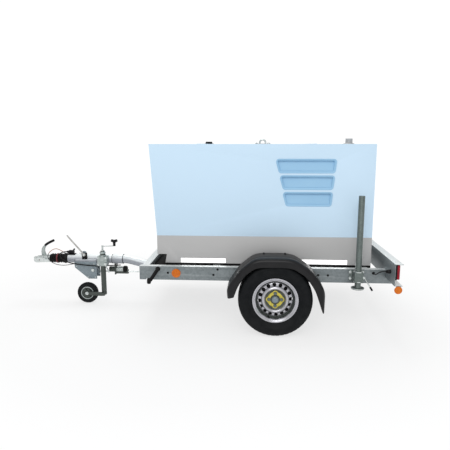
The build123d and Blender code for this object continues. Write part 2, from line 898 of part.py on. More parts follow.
lamp_cable = swept(
    (
        (at(792), -frame_half - 8, 480),
        (at(792), -frame_half - 34, 480),
        (at(794), -frame_half - 68, 488),
        (at(802), plug_y + 22, 512),
        (at(824), plug_y, 530),
        (at(852), plug_y, 530),
    ),
    4,
)
save("lamp_cables", lamp_cable, across(lamp_cable))

# ---- prop stands ----------------------------------------------------------------------------
prop = at(prop_x)
prop_tube = joined(
    rod((prop, -prop_y, prop_foot), (prop, -prop_y, prop_top), prop_radius, prop_radius - prop_wall),
    rod((prop, -prop_y, prop_foot), (prop, -prop_y, prop_foot + 8), 51),
)
save("prop_tube_left", prop_tube)
save("prop_tube_right", across(prop_tube))
clamp_rise = (frame_z + 26, frame_z + 109)
prop_clamp = without(
    joined(
        block((prop - 62, prop + 57), (-frame_half - 5, -frame_half), clamp_rise),
        block((prop - 34, prop + 34), (-prop_y - 34, -frame_half - 5), clamp_rise),
    ),
    rod((prop, -prop_y, clamp_rise[0] - 1), (prop, -prop_y, clamp_rise[1] + 1), prop_radius + running_fit),
    rod((prop + 28, -prop_y, frame_z + 60), (prop + 35, -prop_y, frame_z + 60), 6 + running_fit),
)
save("prop_clamps", prop_clamp, across(prop_clamp))
prop_lever = joined(
    rod((prop + 29, -prop_y, frame_z + 60), (prop + 56, -prop_y, frame_z + 60), 6),
    rod((prop + 36, -prop_y, frame_z + 60), (prop + 46, -prop_y, frame_z + 60), 11),
    rod((prop + 51, -prop_y, frame_z + 60), (prop + 118, -prop_y, frame_z - 46), 6),
)
save("prop_lever_left", prop_lever)
save("prop_lever_right", across(prop_lever))

# ---- skid base, fork pockets and pads -------------------------------------------------------
skid_x = (at(-skid_front), at(skid_rear))
notch_x = at(-skid_front + 66)
notch_z = skid_z + 74
skid_outline = (
    (notch_x, skid_z),
    (skid_x[1], skid_z),
    (skid_x[1], sill_z),
    (skid_x[0], sill_z),
    (skid_x[0], notch_z),
    (notch_x + 14, notch_z),
)
skid_room = (
    (notch_x + skid_wall, skid_z + skid_wall),
    (skid_x[1] - skid_wall, skid_z + skid_wall),
    (skid_x[1] - skid_wall, sill_z + 1),
    (skid_x[0] + skid_wall, sill_z + 1),
    (skid_x[0] + skid_wall, notch_z + skid_wall),
    (notch_x + 14 + skid_wall, notch_z + skid_wall),
)
pocket_z = (skid_z + skid_wall, skid_z + skid_wall + pocket_height)
sleeves = []
tunnels = []
for middle in pocket_places:
    x = (at(middle) - pocket_width / 2, at(middle) + pocket_width / 2)
    tunnels.append(block(x, (-skid_half - 1, skid_half + 1), pocket_z))
    sleeves.append(
        without(
            block(x, (-skid_half, skid_half), pocket_z),
            block(
                (x[0] + pocket_wall, x[1] - pocket_wall),
                (-skid_half - 1, skid_half + 1),
                (pocket_z[0] + pocket_wall, pocket_z[1] - pocket_wall),
            ),
        )
    )
skid = without(
    plate(skid_outline, (-skid_half, skid_half)),
    plate(skid_room, (-skid_half + skid_wall, skid_half - skid_wall)),
    *tunnels,
)
save("skid_base", skid)
save("fork_pockets", *sleeves)
pads = [
    block((at(x) + 5, at(x) + cross_width - 5), (y - 60, y + 60), (cross_top, skid_z))
    for x in cross_places[1:]
    for y in (-400, 400)
]

# ---- canopy, louvres and exhaust ------------------------------------------------------------
canopy_outline = (
    (skid_x[0], sill_z),
    (skid_x[1], sill_z),
    (skid_x[1], roof_z),
    (skid_x[0] - canopy_rake, roof_z),
)
canopy_room = (
    (skid_x[0] + canopy_wall, sill_z - 1),
    (skid_x[1] - canopy_wall, sill_z - 1),
    (skid_x[1] - canopy_wall, roof_z - canopy_wall),
    (skid_x[0] - canopy_rake + canopy_wall, roof_z - canopy_wall),
)
louvre_depth = 28
louvres = (
    ((0, 478, 466, 29), (roof_z - 124, roof_z - 226)),
    ((33, 467, 453, 64), (roof_z - 255, roof_z - 359)),
    ((60, 455, 444, 90), (roof_z - 389, roof_z - 494)),
)


def louvre(corners, heights, depth, inset=0.0):
    """Solid of a recess with round corners, sunk from the left side of the canopy."""
    top, bottom = heights
    x0, x1, x2, x3 = corners
    with BuildPart() as piece:
        with BuildSketch(Plane.XZ.offset(skid_half)):
            with BuildLine():
                Polyline(
                    (at(x0) + inset, top - inset),
                    (at(x1) - inset, top - inset),
                    (at(x2) - inset, bottom + inset),
                    (at(x3) + inset, bottom + inset),
                    close=True,
                )
            make_face()
            fillet(vertices(), radius=18 - inset)
        extrude(amount=-depth)
    return piece.part


trays = []
cuts = []
for corners, heights in louvres:
    solid = louvre(corners, heights, louvre_depth)
    trays.append(without(solid, louvre(corners, heights, louvre_depth - 2, inset=2)))
    cuts.append(solid)
exhaust = at(exhaust_x)
canopy = without(
    plate(canopy_outline, (-skid_half, skid_half)),
    plate(canopy_room, (-skid_half + canopy_wall, skid_half - canopy_wall)),
    *cuts,
    *[across(cut) for cut in cuts],
    rod((exhaust, 0, roof_z - 10), (exhaust, 0, roof_z + 1), exhaust_radius + loose_fit),
)
save("canopy_shell", canopy)
save("louvre_panels", *trays, *[across(tray) for tray in trays])
silencer_top = roof_z - 60
stub = without(
    joined(
        rod((exhaust, 0, silencer_top), (exhaust, 0, roof_z + exhaust_stand), exhaust_radius),
        rod((exhaust, 0, roof_z), (exhaust, 0, roof_z + 4), exhaust_radius + 14),
    ),
    rod((exhaust, 0, silencer_top - 1), (exhaust, 0, roof_z + exhaust_stand + 1), exhaust_radius - 3),
)
silencer = block((exhaust - 330, exhaust + 60), (-90, 90), (silencer_top - 130, silencer_top))
save("exhaust", stub, silencer)

# ---- machinery under the canopy -------------------------------------------------------------
floor_z = skid_z + skid_wall
mount_z = floor_z + 60
engine_x = (at(-350), at(170))
mounts = [
    rod((x, y, floor_z), (x, y, mount_z), 32)
    for x in (at(-340) + 30, at(170) - 30)
    for y in (-165, 165)
]
save("rubber_mounts", *pads, *mounts)
engine = block(engine_x, (-200, 200), (mount_z, mount_z + 420))
save("engine", engine)
alternator = rod((engine_x[1], 0, mount_z + 200), (engine_x[1] + 380, 0, mount_z + 200), 150)
save("alternator", alternator)
tank_x = (at(-880), at(-430))
save("fuel_tank", block(tank_x, (-400, 400), (pocket_z[1], pocket_z[1] + 220)))
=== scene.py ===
"""Looks of a single-axle site trailer with a canopied power unit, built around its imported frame.

X runs from the coupling to the tail, Y is negative on the left side and Z is up. Every size is in
millimetres, with X measured from the wheel centre; `at` turns a point into the metres of the frame.
"""

import json
import logging
import math
from collections.abc import Callable, Iterator, Mapping, Sequence
from contextlib import contextmanager
from dataclasses import dataclass
from enum import Enum

import bpy
from mathutils import Matrix, Vector


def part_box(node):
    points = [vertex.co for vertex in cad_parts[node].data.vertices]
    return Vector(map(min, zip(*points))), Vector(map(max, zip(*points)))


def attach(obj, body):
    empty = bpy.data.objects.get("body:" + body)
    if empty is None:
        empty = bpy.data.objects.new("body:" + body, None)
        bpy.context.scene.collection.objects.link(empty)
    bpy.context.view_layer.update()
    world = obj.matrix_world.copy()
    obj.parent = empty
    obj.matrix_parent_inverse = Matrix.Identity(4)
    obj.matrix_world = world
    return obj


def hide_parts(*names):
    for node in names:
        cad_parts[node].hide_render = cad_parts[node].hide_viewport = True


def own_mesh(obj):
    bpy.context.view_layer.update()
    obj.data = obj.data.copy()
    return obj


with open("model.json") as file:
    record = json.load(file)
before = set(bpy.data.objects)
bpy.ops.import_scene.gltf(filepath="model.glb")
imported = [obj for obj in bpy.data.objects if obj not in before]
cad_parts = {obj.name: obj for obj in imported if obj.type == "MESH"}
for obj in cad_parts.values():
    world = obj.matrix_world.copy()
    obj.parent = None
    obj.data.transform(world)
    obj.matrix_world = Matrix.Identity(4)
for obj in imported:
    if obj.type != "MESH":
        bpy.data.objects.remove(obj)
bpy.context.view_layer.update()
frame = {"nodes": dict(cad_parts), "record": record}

logging.basicConfig(level=logging.INFO, format="%(name)s: %(message)s")
LOG = logging.getLogger("trailer")

Place = Sequence[float]
Outline = Sequence[tuple[float, float]]
Colour = tuple[float, float, float]
Piece = bpy.types.Object
Tree = bpy.types.NodeTree
Socket = bpy.types.NodeSocket

MM = 0.001
MERGE = 0.00002
SMOOTH = math.radians(32)
WHEEL_X = sum(corner.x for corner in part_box("tyre_left")) / 2
UP, AFT, ACROSS, OUT = (0, 0, 1), (1, 0, 0), (0, 1, 0), (0, -1, 0)
DUST_COLOUR: Colour = (0.36, 0.34, 0.31)
# Pale colour mixed into the upward faces of zinc as painted light from the sky.
PAINTED_SKY_LIGHT_COLOUR: Colour = (0.88, 0.92, 0.92)


def at(point: Place) -> Vector:
    """Turn millimetres from the wheel centre, the middle and the ground into metres of the frame."""
    x, y, z = point
    return Vector((WHEEL_X + x * MM, y * MM, z * MM))


def spot(point: Vector) -> Vector:
    """Turn metres of the frame into millimetres from the wheel centre, the middle and the ground."""
    return Vector(((point.x - WHEEL_X) / MM, point.y / MM, point.z / MM))


def span(node: str) -> tuple[Vector, Vector]:
    """Lowest and highest corner of a frame node at rest, in millimetres."""
    low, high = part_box(node)
    return spot(low), spot(high)


def around(centre: Place, radius: float, turn: float, out: float = 0) -> Vector:
    """Point at an angle round an axle's centre, a distance out to the left."""
    x, y, z = centre
    return Vector((x + radius * math.cos(turn), y - out, z + radius * math.sin(turn)))


class Side(Enum):
    """Side of the trailer, with the sign of its Y."""

    LEFT = -1
    RIGHT = 1

    @property
    def word(self) -> str:
        """Name of the side as the frame spells it."""
        return self.name.lower()


class Pattern(Enum):
    """How the two colours of a finish are spread over the surface."""

    CLOUD = "cloud"
    SPANGLE = "spangle"
    BRUSHED = "brushed"
    HEIGHT = "height"


# ---- shader nodes ---------------------------------------------------------------------------


def feed(tree: Tree, node: bpy.types.Node, feeds: Mapping[str | int, object]) -> None:
    """Link or set inputs of a node.

    Args:
        tree: node tree that holds the node.
        node: the node.
        feeds: socket or value for each input, by its name or number.
    """
    for label, value in feeds.items():
        if isinstance(value, Socket):
            tree.links.new(value, node.inputs[label])
        else:
            node.inputs[label].default_value = value


def add(tree: Tree, kind: str, feeds: Mapping[str | int, object], **fields: object) -> bpy.types.Node:
    """Add a shader node.

    Args:
        tree: node tree that takes the node.
        kind: type of the node, without its ShaderNode prefix.
        feeds: socket or value for each input, by its name or number.
        fields: values of the node's own settings.

    Returns:
        The node.
    """
    node = tree.nodes.new(f"ShaderNode{kind}")
    for label, value in fields.items():
        setattr(node, label, value)
    feed(tree, node, feeds)
    return node


class Effects:
    """Shader effects shared by the finishes; each is a node group with one output, from 0 to 1."""

    made: dict[str, Tree] = {}

    @classmethod
    def get(cls, name: str, labels: Sequence[str]) -> Tree:
        """Node group of an effect, built on its first use.

        Args:
            name: name of the effect and of its method here.
            labels: names of its number inputs.

        Returns:
            The node group.
        """
        if name not in cls.made:
            tree = cls.made[name] = bpy.data.node_groups.new(name, "ShaderNodeTree")
            for label, way in (*((label, "INPUT") for label in labels), ("Value", "OUTPUT")):
                tree.interface.new_socket(label, in_out=way, socket_type="NodeSocketFloat")
            result = getattr(cls, name)(tree, tree.nodes.new("NodeGroupInput").outputs)
            tree.links.new(result, tree.nodes.new("NodeGroupOutput").inputs["Value"])
        return cls.made[name]

    @staticmethod
    def place(tree: Tree, kind: str = "Object") -> Socket:
        """Coordinates or normal of the piece's own surface."""
        return tree.nodes.new("ShaderNodeTexCoord").outputs[kind]

    @classmethod
    def rise(cls, tree: Tree, kind: str = "Object") -> Socket:
        """Z of the piece's own coordinates or normal."""
        return add(tree, "SeparateXYZ", {"Vector": cls.place(tree, kind)}).outputs["Z"]

    @classmethod
    def noise(cls, tree: Tree, scale: Socket | float, detail: float) -> Socket:
        """Noise on the piece's own coordinates."""
        feeds = {"Vector": cls.place(tree), "Scale": scale, "Detail": detail}
        return add(tree, "TexNoise", feeds).outputs["Fac"]

    @staticmethod
    def sum_of(tree: Tree, kind: str, first: Socket | float, second: Socket | float) -> Socket:
        """Join two numbers or sockets with one Math node, held between 0 and 1."""
        return add(tree, "Math", {0: first, 1: second}, operation=kind, use_clamp=True).outputs["Value"]

    @staticmethod
    def ramp(tree: Tree, value: Socket, low: float, high: float) -> Socket:
        """Spread the values between two bounds from 0 to 1."""
        return add(tree, "MapRange", {"Value": value, "From Min": low, "From Max": high}).outputs["Result"]

    @classmethod
    def cloud(cls, tree: Tree, given: Mapping[str, Socket]) -> Socket:
        """Soft blotches."""
        return cls.ramp(tree, cls.noise(tree, given["Scale"], 6), 0.32, 0.68)

    @classmethod
    def spangle(cls, tree: Tree, given: Mapping[str, Socket]) -> Socket:
        """Crystal flakes of hot-dip zinc under a soft cloud."""
        cells = add(tree, "TexVoronoi", {"Vector": cls.place(tree), "Scale": given["Scale"]})
        split = add(tree, "SeparateColor", {"Color": cells.outputs["Color"]})
        flakes = cls.sum_of(tree, "MULTIPLY", split.outputs["Red"], 0.45)
        return cls.sum_of(tree, "ADD", flakes, cls.sum_of(tree, "MULTIPLY", cls.noise(tree, 9, 5), 0.6))

    @classmethod
    def brushed(cls, tree: Tree, given: Mapping[str, Socket]) -> Socket:
        """Fine drawn lines along X."""
        stretch = add(tree, "Mapping", {"Vector": cls.place(tree), "Scale": (0.15, 6, 6)})
        feeds = {"Vector": stretch.outputs["Vector"], "Scale": given["Scale"]}
        return add(tree, "TexNoise", feeds).outputs["Fac"]

    @classmethod
    def grain(cls, tree: Tree, given: Mapping[str, Socket]) -> Socket:
        """Height of a fine even grain."""
        return cls.noise(tree, given["Scale"], 2)

    @classmethod
    def sky_bloom(cls, tree: Tree, given: Mapping[str, Socket]) -> Socket:
        """Share of a face that looks up, where zinc is painted paler as painted light from the sky."""
        upward = cls.ramp(tree, cls.rise(tree, "Normal"), 0.05, 0.9)
        return cls.sum_of(tree, "MULTIPLY", upward, given["Amount"])

    @classmethod
    def height(cls, tree: Tree, given: Mapping[str, Socket]) -> Socket:
        """0 below a height in metres and 1 above it."""
        return cls.ramp(tree, cls.sum_of(tree, "SUBTRACT", cls.rise(tree), given["Scale"]), 0, 0.012)

    @classmethod
    def road_dust(cls, tree: Tree, given: Mapping[str, Socket]) -> Socket:
        """Patchy dust that thins out with height above the road."""
        low = cls.sum_of(tree, "SUBTRACT", 1, cls.sum_of(tree, "DIVIDE", cls.rise(tree), given["Reach"]))
        patches = cls.sum_of(tree, "MULTIPLY", low, cls.noise(tree, 22, 7))
        return cls.sum_of(tree, "MULTIPLY", patches, given["Amount"])


@dataclass(frozen=True)
class Finish:
    """Recipe of one surface: two colours spread by a pattern, painted light on upward faces where given,
    dust on top and a fine grain.
    """

    name: str
    slot: str
    colour: Colour
    second: Colour
    roughness: float
    swing: float
    metallic: float
    scale: float
    grain: float
    depth: float
    strength: float
    dust: float = 0.1
    reach: float = 0.6
    coat: float = 0.0
    pattern: Pattern = Pattern.CLOUD
    specular: float = 0.5
    # Share of painted light that pales the upward faces.
    bloom: float = 0.0
    # Emission strength in the second colour; a part that is no lamp glows with it as painted light.
    glow: float = 0.0

    def material(self) -> bpy.types.Material:
        """Material of this finish, made on its first use."""
        label = f"look_{self.name}"
        if label in bpy.data.materials:
            return bpy.data.materials[label]
        made = bpy.data.materials.new(label)
        made.use_nodes = True
        tree = made.node_tree
        mask = self.effect(tree, self.pattern.value, Scale=self.scale)
        base = self.mix(tree, mask, (*self.colour, 1), self.second)
        # Upward faces are mixed toward a pale colour: painted light from above.
        if self.bloom:
            base = self.mix(tree, self.effect(tree, "sky_bloom", Amount=self.bloom), base, PAINTED_SKY_LIGHT_COLOUR)
        dust = self.effect(tree, "road_dust", Reach=self.reach, Amount=self.dust)
        low, high = self.roughness - self.swing / 2, self.roughness + self.swing / 2
        rough = add(tree, "MapRange", {"Value": mask, "To Min": low, "To Max": high})
        height = self.effect(tree, "grain", Scale=self.grain)
        bump = add(tree, "Bump", {"Strength": self.strength, "Distance": self.depth * MM, "Height": height})
        feeds = {
            "Metallic": self.metallic, "Coat Weight": self.coat, "Specular IOR Level": self.specular,
            "Base Color": self.mix(tree, dust, base, DUST_COLOUR), "Roughness": rough.outputs["Result"],
            "Normal": bump.outputs["Normal"],
        }
        if self.glow:
            feeds |= {"Emission Color": (*self.second, 1), "Emission Strength": self.glow}
        feed(tree, tree.nodes["Principled BSDF"], feeds)
        return made

    @staticmethod
    def effect(tree: Tree, name: str, **values: float) -> Socket:
        """Place a shared effect in a material with numbers for its inputs."""
        group = add(tree, "Group", {}, node_tree=Effects.get(name, list(values)))
        feed(tree, group, values)
        return group.outputs["Value"]

    @staticmethod
    def mix(tree: Tree, mask: Socket, first: object, second: Colour) -> Socket:
        """Mix a colour or socket with a second colour by a mask."""
        return add(tree, "Mix", {0: mask, 6: first, 7: (*second, 1)}, data_type="RGBA").outputs[2]


class Finishes:
    """Every finish of the trailer."""

    # Upward faces are painted paler as painted sky light.
    zinc = Finish(
        "zinc_sheet", "galvanised", (0.13, 0.155, 0.165), (0.26, 0.29, 0.30),
        0.42, 0.25, 0.5, 70, 300, 0.1, 0.25, pattern=Pattern.SPANGLE, bloom=0.9,
    )
    zinc_tube = Finish(
        "zinc_tube", "galvanised", (0.085, 0.11, 0.105), (0.17, 0.20, 0.19),
        0.38, 0.2, 0.6, 110, 400, 0.15, 0.2, pattern=Pattern.SPANGLE,
    )
    # Darkest galvanised tone; on the hub bowl and in the rim groove it serves as painted shade.
    zinc_dark = Finish(
        "zinc_dark", "galvanised", (0.032, 0.042, 0.038), (0.075, 0.088, 0.08),
        0.38, 0.2, 0.5, 110, 400, 0.15, 0.2, 0.08, pattern=Pattern.SPANGLE,
    )
    # Upward faces are painted paler as painted sky light.
    zinc_pale = Finish(
        "zinc_pale", "galvanised", (0.24, 0.26, 0.29), (0.36, 0.38, 0.42),
        0.42, 0.2, 0.3, 60, 300, 0.1, 0.2, pattern=Pattern.SPANGLE, bloom=1.0,
    )
    zinc_plate = Finish(
        "zinc_plate", "galvanised", (0.15, 0.19, 0.215), (0.25, 0.30, 0.33),
        0.45, 0.2, 0.4, 90, 300, 0.15, 0.2, pattern=Pattern.SPANGLE,
    )
    bright_zinc = Finish(
        "bright_zinc", "galvanised", (0.52, 0.56, 0.55), (0.70, 0.74, 0.73),
        0.30, 0.14, 0.8, 40, 500, 0.1, 0.2, 0.05,
    )
    lever_zinc = Finish(
        "lever_zinc", "galvanised", (0.34, 0.33, 0.31), (0.48, 0.47, 0.45),
        0.4, 0.15, 0.5, 40, 500, 0.1, 0.2, 0.03,
    )
    casting = Finish(
        "zinc_casting", "cast_grey", (0.28, 0.33, 0.32), (0.46, 0.50, 0.49),
        0.45, 0.2, 0.6, 45, 350, 0.4, 0.4,
    )
    # Near-black; on the brake drum behind the vents and on the front tray it stands as painted shade.
    drum = Finish(
        "drum_black", "cast_grey", (0.004, 0.004, 0.005), (0.010, 0.010, 0.010),
        0.6, 0.2, 0.0, 30, 300, 0.1, 0.2, 0.03, specular=0.08,
    )
    shaft = Finish(
        "ground_shaft", "ground_steel", (0.45, 0.45, 0.45), (0.6, 0.6, 0.6),
        0.22, 0.1, 1.0, 60, 600, 0.05, 0.1, 0.05, pattern=Pattern.BRUSHED,
    )
    wheel_silver = Finish(
        "wheel_silver", "silver_paint", (0.42, 0.42, 0.45), (0.50, 0.50, 0.53),
        0.26, 0.1, 0.8, 25, 900, 0.06, 0.2, 0.1, 0.45, 0.15,
    )
    yellow_zinc = Finish(
        "yellow_zinc", "yellow_plate", (0.42, 0.36, 0.03), (0.66, 0.56, 0.10),
        0.35, 0.15, 0.3, 60, 600, 0.1, 0.2, 0.03,
    )
    tyre = Finish(
        "tyre_rubber", "tyre_rubber", (0.004, 0.005, 0.006), (0.009, 0.010, 0.011),
        0.55, 0.12, 0.0, 20, 500, 0.08, 0.25, 0.02, 0.3, specular=0.1,
    )
    guard = Finish(
        "guard_plastic", "black_plastic", (0.004, 0.004, 0.005), (0.008, 0.008, 0.009),
        0.34, 0.08, 0.0, 15, 600, 0.06, 0.2, 0.01, 0.9, specular=0.26,
    )
    plastic = Finish(
        "black_plastic", "black_plastic", (0.005, 0.005, 0.006), (0.009, 0.009, 0.010),
        0.42, 0.1, 0.0, 60, 600, 0.06, 0.25, 0.01, specular=0.15,
    )
    rubber = Finish(
        "black_rubber", "black_rubber", (0.005, 0.005, 0.005), (0.011, 0.011, 0.011),
        0.55, 0.15, 0.0, 60, 600, 0.06, 0.25, 0.01, specular=0.12,
    )
    red_band = Finish(
        "dark_red_band", "red_lens", (0.09, 0.004, 0.010), (0.16, 0.010, 0.018),
        0.45, 0.1, 0.0, 60, 700, 0.2, 0.3, 0.05,
    )
    sheath = Finish(
        "brown_sheath", "cable_sheath", (0.006, 0.006, 0.007), (0.32, 0.13, 0.045),
        0.4, 0.1, 0.0, 0.468, 600, 0.05, 0.2, 0.01, pattern=Pattern.HEIGHT, specular=0.2,
    )
    red_lens = Finish(
        "red_lens", "red_lens", (0.20, 0.002, 0.010), (0.30, 0.005, 0.016),
        0.2, 0.05, 0.0, 40, 500, 0.1, 0.15, 0.01, specular=0.25,
    )
    amber_lens = Finish(
        "amber_lens", "amber_lens", (0.50, 0.11, 0.006), (0.66, 0.17, 0.012),
        0.25, 0.08, 0.0, 60, 450, 0.3, 0.4, 0.01, specular=0.25,
    )
    white_lens = Finish(
        "white_lens", "white_paint", (0.78, 0.79, 0.80), (0.88, 0.89, 0.90),
        0.2, 0.08, 0.0, 60, 450, 0.2, 0.3, 0.02, coat=0.5,
    )
    canopy_blue = Finish(
        "canopy_blue", "blue_paint", (0.520, 0.680, 0.820), (0.535, 0.695, 0.835),
        0.5, 0.08, 0.0, 1.4, 260, 0.25, 0.18, 0.0,
    )
    # The canopy's blue darkened as painted shade, for the louvre scoops and the grille slats.
    recess_blue = Finish(
        "recess_blue", "recess_blue", (0.255, 0.463, 0.665), (0.28, 0.49, 0.685),
        0.5, 0.08, 0.0, 3, 260, 0.25, 0.18, 0.0,
    )
    base_grey = Finish(
        "skid_grey", "base_grey", (0.40, 0.40, 0.40), (0.42, 0.42, 0.42),
        0.55, 0.1, 0.0, 2, 260, 0.25, 0.2, 0.04,
    )
    # White paint inside the fork pockets, glowing as painted light so that the pockets stay as bright as the
    # backdrop.
    pocket_white = Finish(
        "pocket_white", "white_paint", (0.88, 0.88, 0.88), (0.94, 0.94, 0.94),
        0.5, 0.08, 0.0, 4, 260, 0.25, 0.2, 0.0, glow=0.62,
    )
    exhaust = Finish(
        "exhaust_steel", "exhaust_steel", (0.34, 0.34, 0.34), (0.42, 0.42, 0.42),
        0.5, 0.12, 0.1, 30, 500, 0.2, 0.25, 0.0,
    )
    engine = Finish(
        "engine_casting", "engine_metal", (0.10, 0.10, 0.105), (0.17, 0.17, 0.175),
        0.55, 0.15, 0.5, 25, 300, 0.4, 0.4, 0.0,
    )
    generator = Finish(
        "alternator_casting", "alternator_metal", (0.14, 0.15, 0.16), (0.2, 0.21, 0.22),
        0.5, 0.15, 0.4, 25, 300, 0.4, 0.4, 0.0,
    )
    tank = Finish(
        "tank_plastic", "tank_plastic", (0.03, 0.03, 0.03), (0.05, 0.05, 0.05),
        0.45, 0.1, 0.0, 15, 600, 0.2, 0.3, 0.0,
    )
    floor = Finish(
        "studio_floor", "white_paint", (0.235, 0.235, 0.235), (0.24, 0.24, 0.24),
        0.95, 0.02, 0.0, 0.4, 3, 0.1, 0.02, 0.0, specular=0.0,
    )


# ---- modelling moves ------------------------------------------------------------------------


def hold(*pieces: Piece) -> None:
    """Select these pieces alone and make the first one active."""
    bpy.ops.object.select_all(action="DESELECT")
    for piece in pieces:
        piece.select_set(True)
    bpy.context.view_layer.objects.active = pieces[0]


def settle(name: str) -> Piece:
    """Name the active piece and move its place into its mesh."""
    piece = bpy.context.active_object
    piece.name = piece.data.name = name
    hold(piece)
    bpy.ops.object.transform_apply(location=True, rotation=True, scale=True)
    return piece


@contextmanager
def edit(piece: Piece, kind: str = "") -> Iterator[None]:
    """Open a piece in edit mode, with everything of one kind selected where a kind is given."""
    hold(piece)
    bpy.ops.object.mode_set(mode="EDIT")
    if kind:
        bpy.ops.mesh.select_mode(type=kind)
        bpy.ops.mesh.select_all(action="SELECT")
    yield
    bpy.ops.object.mode_set(mode="OBJECT")


def merge() -> None:
    """Merge the doubles of the mesh that is being edited."""
    bpy.ops.mesh.select_all(action="SELECT")
    bpy.ops.mesh.remove_doubles(threshold=MERGE)


def face_out() -> None:
    """Turn the faces of the mesh that is being edited outwards."""
    bpy.ops.mesh.select_all(action="SELECT")
    bpy.ops.mesh.normals_make_consistent(inside=False)


def link(piece: Piece) -> Piece:
    """Put a new piece into the scene."""
    bpy.context.scene.collection.objects.link(piece)
    return piece


def sink(piece: Piece, test: Callable[[Vector], bool], depth: float) -> Piece:
    """Press in the faces whose centre, in millimetres, passes a test.

    Args:
        piece: the piece.
        test: tells from a face's centre whether it is pressed in.
        depth: how deep the faces go.

    Returns:
        The piece.
    """
    bpy.context.tool_settings.mesh_select_mode = (False, False, True)
    for item in (*piece.data.vertices, *piece.data.edges):
        item.select = False
    for face in piece.data.polygons:
        face.select = bool(test(spot(face.center)))
    with edit(piece):
        bpy.ops.mesh.extrude_region_shrink_fatten(TRANSFORM_OT_shrink_fatten={"value": -depth * MM})
    return piece


def block(name: str, low: Place, high: Place) -> Piece:
    """Box between two corners."""
    low, high = at(low), at(high)
    bpy.ops.mesh.primitive_cube_add(size=1, location=(low + high) / 2, scale=high - low)
    return settle(name)


def rod(
    name: str, start: Place, end: Place, radius: float, tip: float | None = None, sides: int = 32
) -> Piece:
    """Round or many-sided bar between two points, tapered where a tip radius is given."""
    start, end = at(start), at(end)
    way = end - start
    bpy.ops.mesh.primitive_cone_add(
        vertices=sides, radius1=radius * MM, radius2=(radius if tip is None else tip) * MM, depth=way.length,
        location=(start + end) / 2, rotation=way.to_track_quat("Z", "Y").to_euler(),
    )
    return settle(name)


def loop(name: str, places: Sequence[Vector]) -> Piece:
    """Closed loop of edges through places in metres."""
    bpy.ops.mesh.primitive_circle_add(vertices=len(places), radius=1)
    piece = settle(name)
    for vertex, place in zip(piece.data.vertices, places):
        vertex.co = place
    return piece


def lathe(name: str, outline: Outline, centre: Place, axis: Place, steps: int = 48) -> Piece:
    """Spin a closed outline about an axis.

    Args:
        name: name of the piece.
        outline: (distance along the axis, radius) points in order round the outline.
        centre: point on the axis where the distance is 0.
        axis: direction of the axis.
        steps: how many steps make the full turn.

    Returns:
        The piece.
    """
    middle, way = at(centre), Vector(axis).normalized()
    outward = way.orthogonal().normalized()
    piece = loop(name, [middle + way * along * MM + outward * radius * MM for along, radius in outline])
    with edit(piece, "VERT"):
        bpy.ops.mesh.spin(steps=steps, angle=2 * math.pi, center=middle, axis=way)
        merge()
        bpy.ops.mesh.delete_loose(use_verts=True, use_edges=True, use_faces=False)
        face_out()
    return piece


def line(name: str, points: Sequence[Place], radius: float) -> Piece:
    """Round cable along one smooth spline with these control points."""
    data = bpy.data.curves.new(name, "CURVE")
    data.dimensions = "3D"
    data.bevel_depth = radius * MM
    data.bevel_resolution = 4
    data.resolution_u = 12
    data.use_fill_caps = True
    spline = data.splines.new("NURBS")
    spline.points.add(len(points) - 1)
    for control, point in zip(spline.points, points):
        control.co = (*at(point), 1)
    spline.order_u = 3
    spline.use_endpoint_u = True
    return link(bpy.data.objects.new(name, data))


def tube(name: str, points: Sequence[Place], radius: float) -> Piece:
    """Bent round bar as a mesh."""
    hold(line(name, points, radius))
    bpy.ops.object.convert(target="MESH")
    piece = bpy.context.active_object
    with edit(piece):
        merge()
        face_out()
    return piece


def slab(name: str, outline: Outline, y: tuple[float, float]) -> Piece:
    """Flat plate with its outline in X and Z and its thickness between two values of Y."""
    piece = loop(name, [at((x, y[0], z)) for x, z in outline])
    with edit(piece):
        bpy.ops.mesh.select_all(action="SELECT")
        bpy.ops.mesh.edge_face_add()
        bpy.ops.mesh.extrude_region_move(TRANSFORM_OT_translate={"value": (0, (y[1] - y[0]) * MM, 0)})
        face_out()
    return piece


def modify(piece: Piece, kind: str, **settings: object) -> Piece:
    """Add one modifier with its settings and apply it."""
    hold(piece)
    modifier = piece.modifiers.new(kind.lower(), kind)
    for label, value in settings.items():
        setattr(modifier, label, value)
    bpy.ops.object.modifier_apply(modifier=modifier.name)
    return piece


def soften(piece: Piece, width: float, segments: int = 2, angle: float = 34) -> Piece:
    """Round the sharp edges of a piece."""
    return modify(
        piece, "BEVEL", width=width * MM, segments=segments, limit_method="ANGLE",
        angle_limit=math.radians(angle), use_clamp_overlap=True,
    )


def cut(piece: Piece, tool: Piece) -> Piece:
    """Cut a tool out of a piece and throw the tool away."""
    modify(piece, "BOOLEAN", object=tool, operation="DIFFERENCE", solver="EXACT")
    bpy.data.objects.remove(tool)
    return piece


def join(name: str, *pieces: Piece) -> Piece:
    """Join pieces that are welded, screwed or moulded together."""
    hold(*pieces)
    bpy.ops.object.join()
    return settle(name)


def mirrored(piece: Piece, name: str) -> Piece:
    """Copy of a piece on the other side of the trailer, with its own mesh."""
    twin = link(bpy.data.objects.new(name, piece.data.copy()))
    twin.data.transform(Matrix.Diagonal((1, -1, 1, 1)))
    twin.data.flip_normals()
    return twin


def from_node(node: str, width: float, segments: int = 2) -> Piece:
    """Merged copy of a frame node's mesh with rounded edges.

    Args:
        node: name of the frame node.
        width: width of the rounding.
        segments: faces across the rounding.

    Returns:
        The new piece, which stands where the node stands.
    """
    piece = link(bpy.data.objects.new(f"{node}_look", frame["nodes"][node].data.copy()))
    with edit(piece):
        bpy.ops.mesh.customdata_custom_splitnormals_clear()
        bpy.ops.mesh.select_mode(type="VERT")
        merge()
        bpy.ops.mesh.dissolve_limited(angle_limit=math.radians(0.6))
    return soften(piece, width, segments)


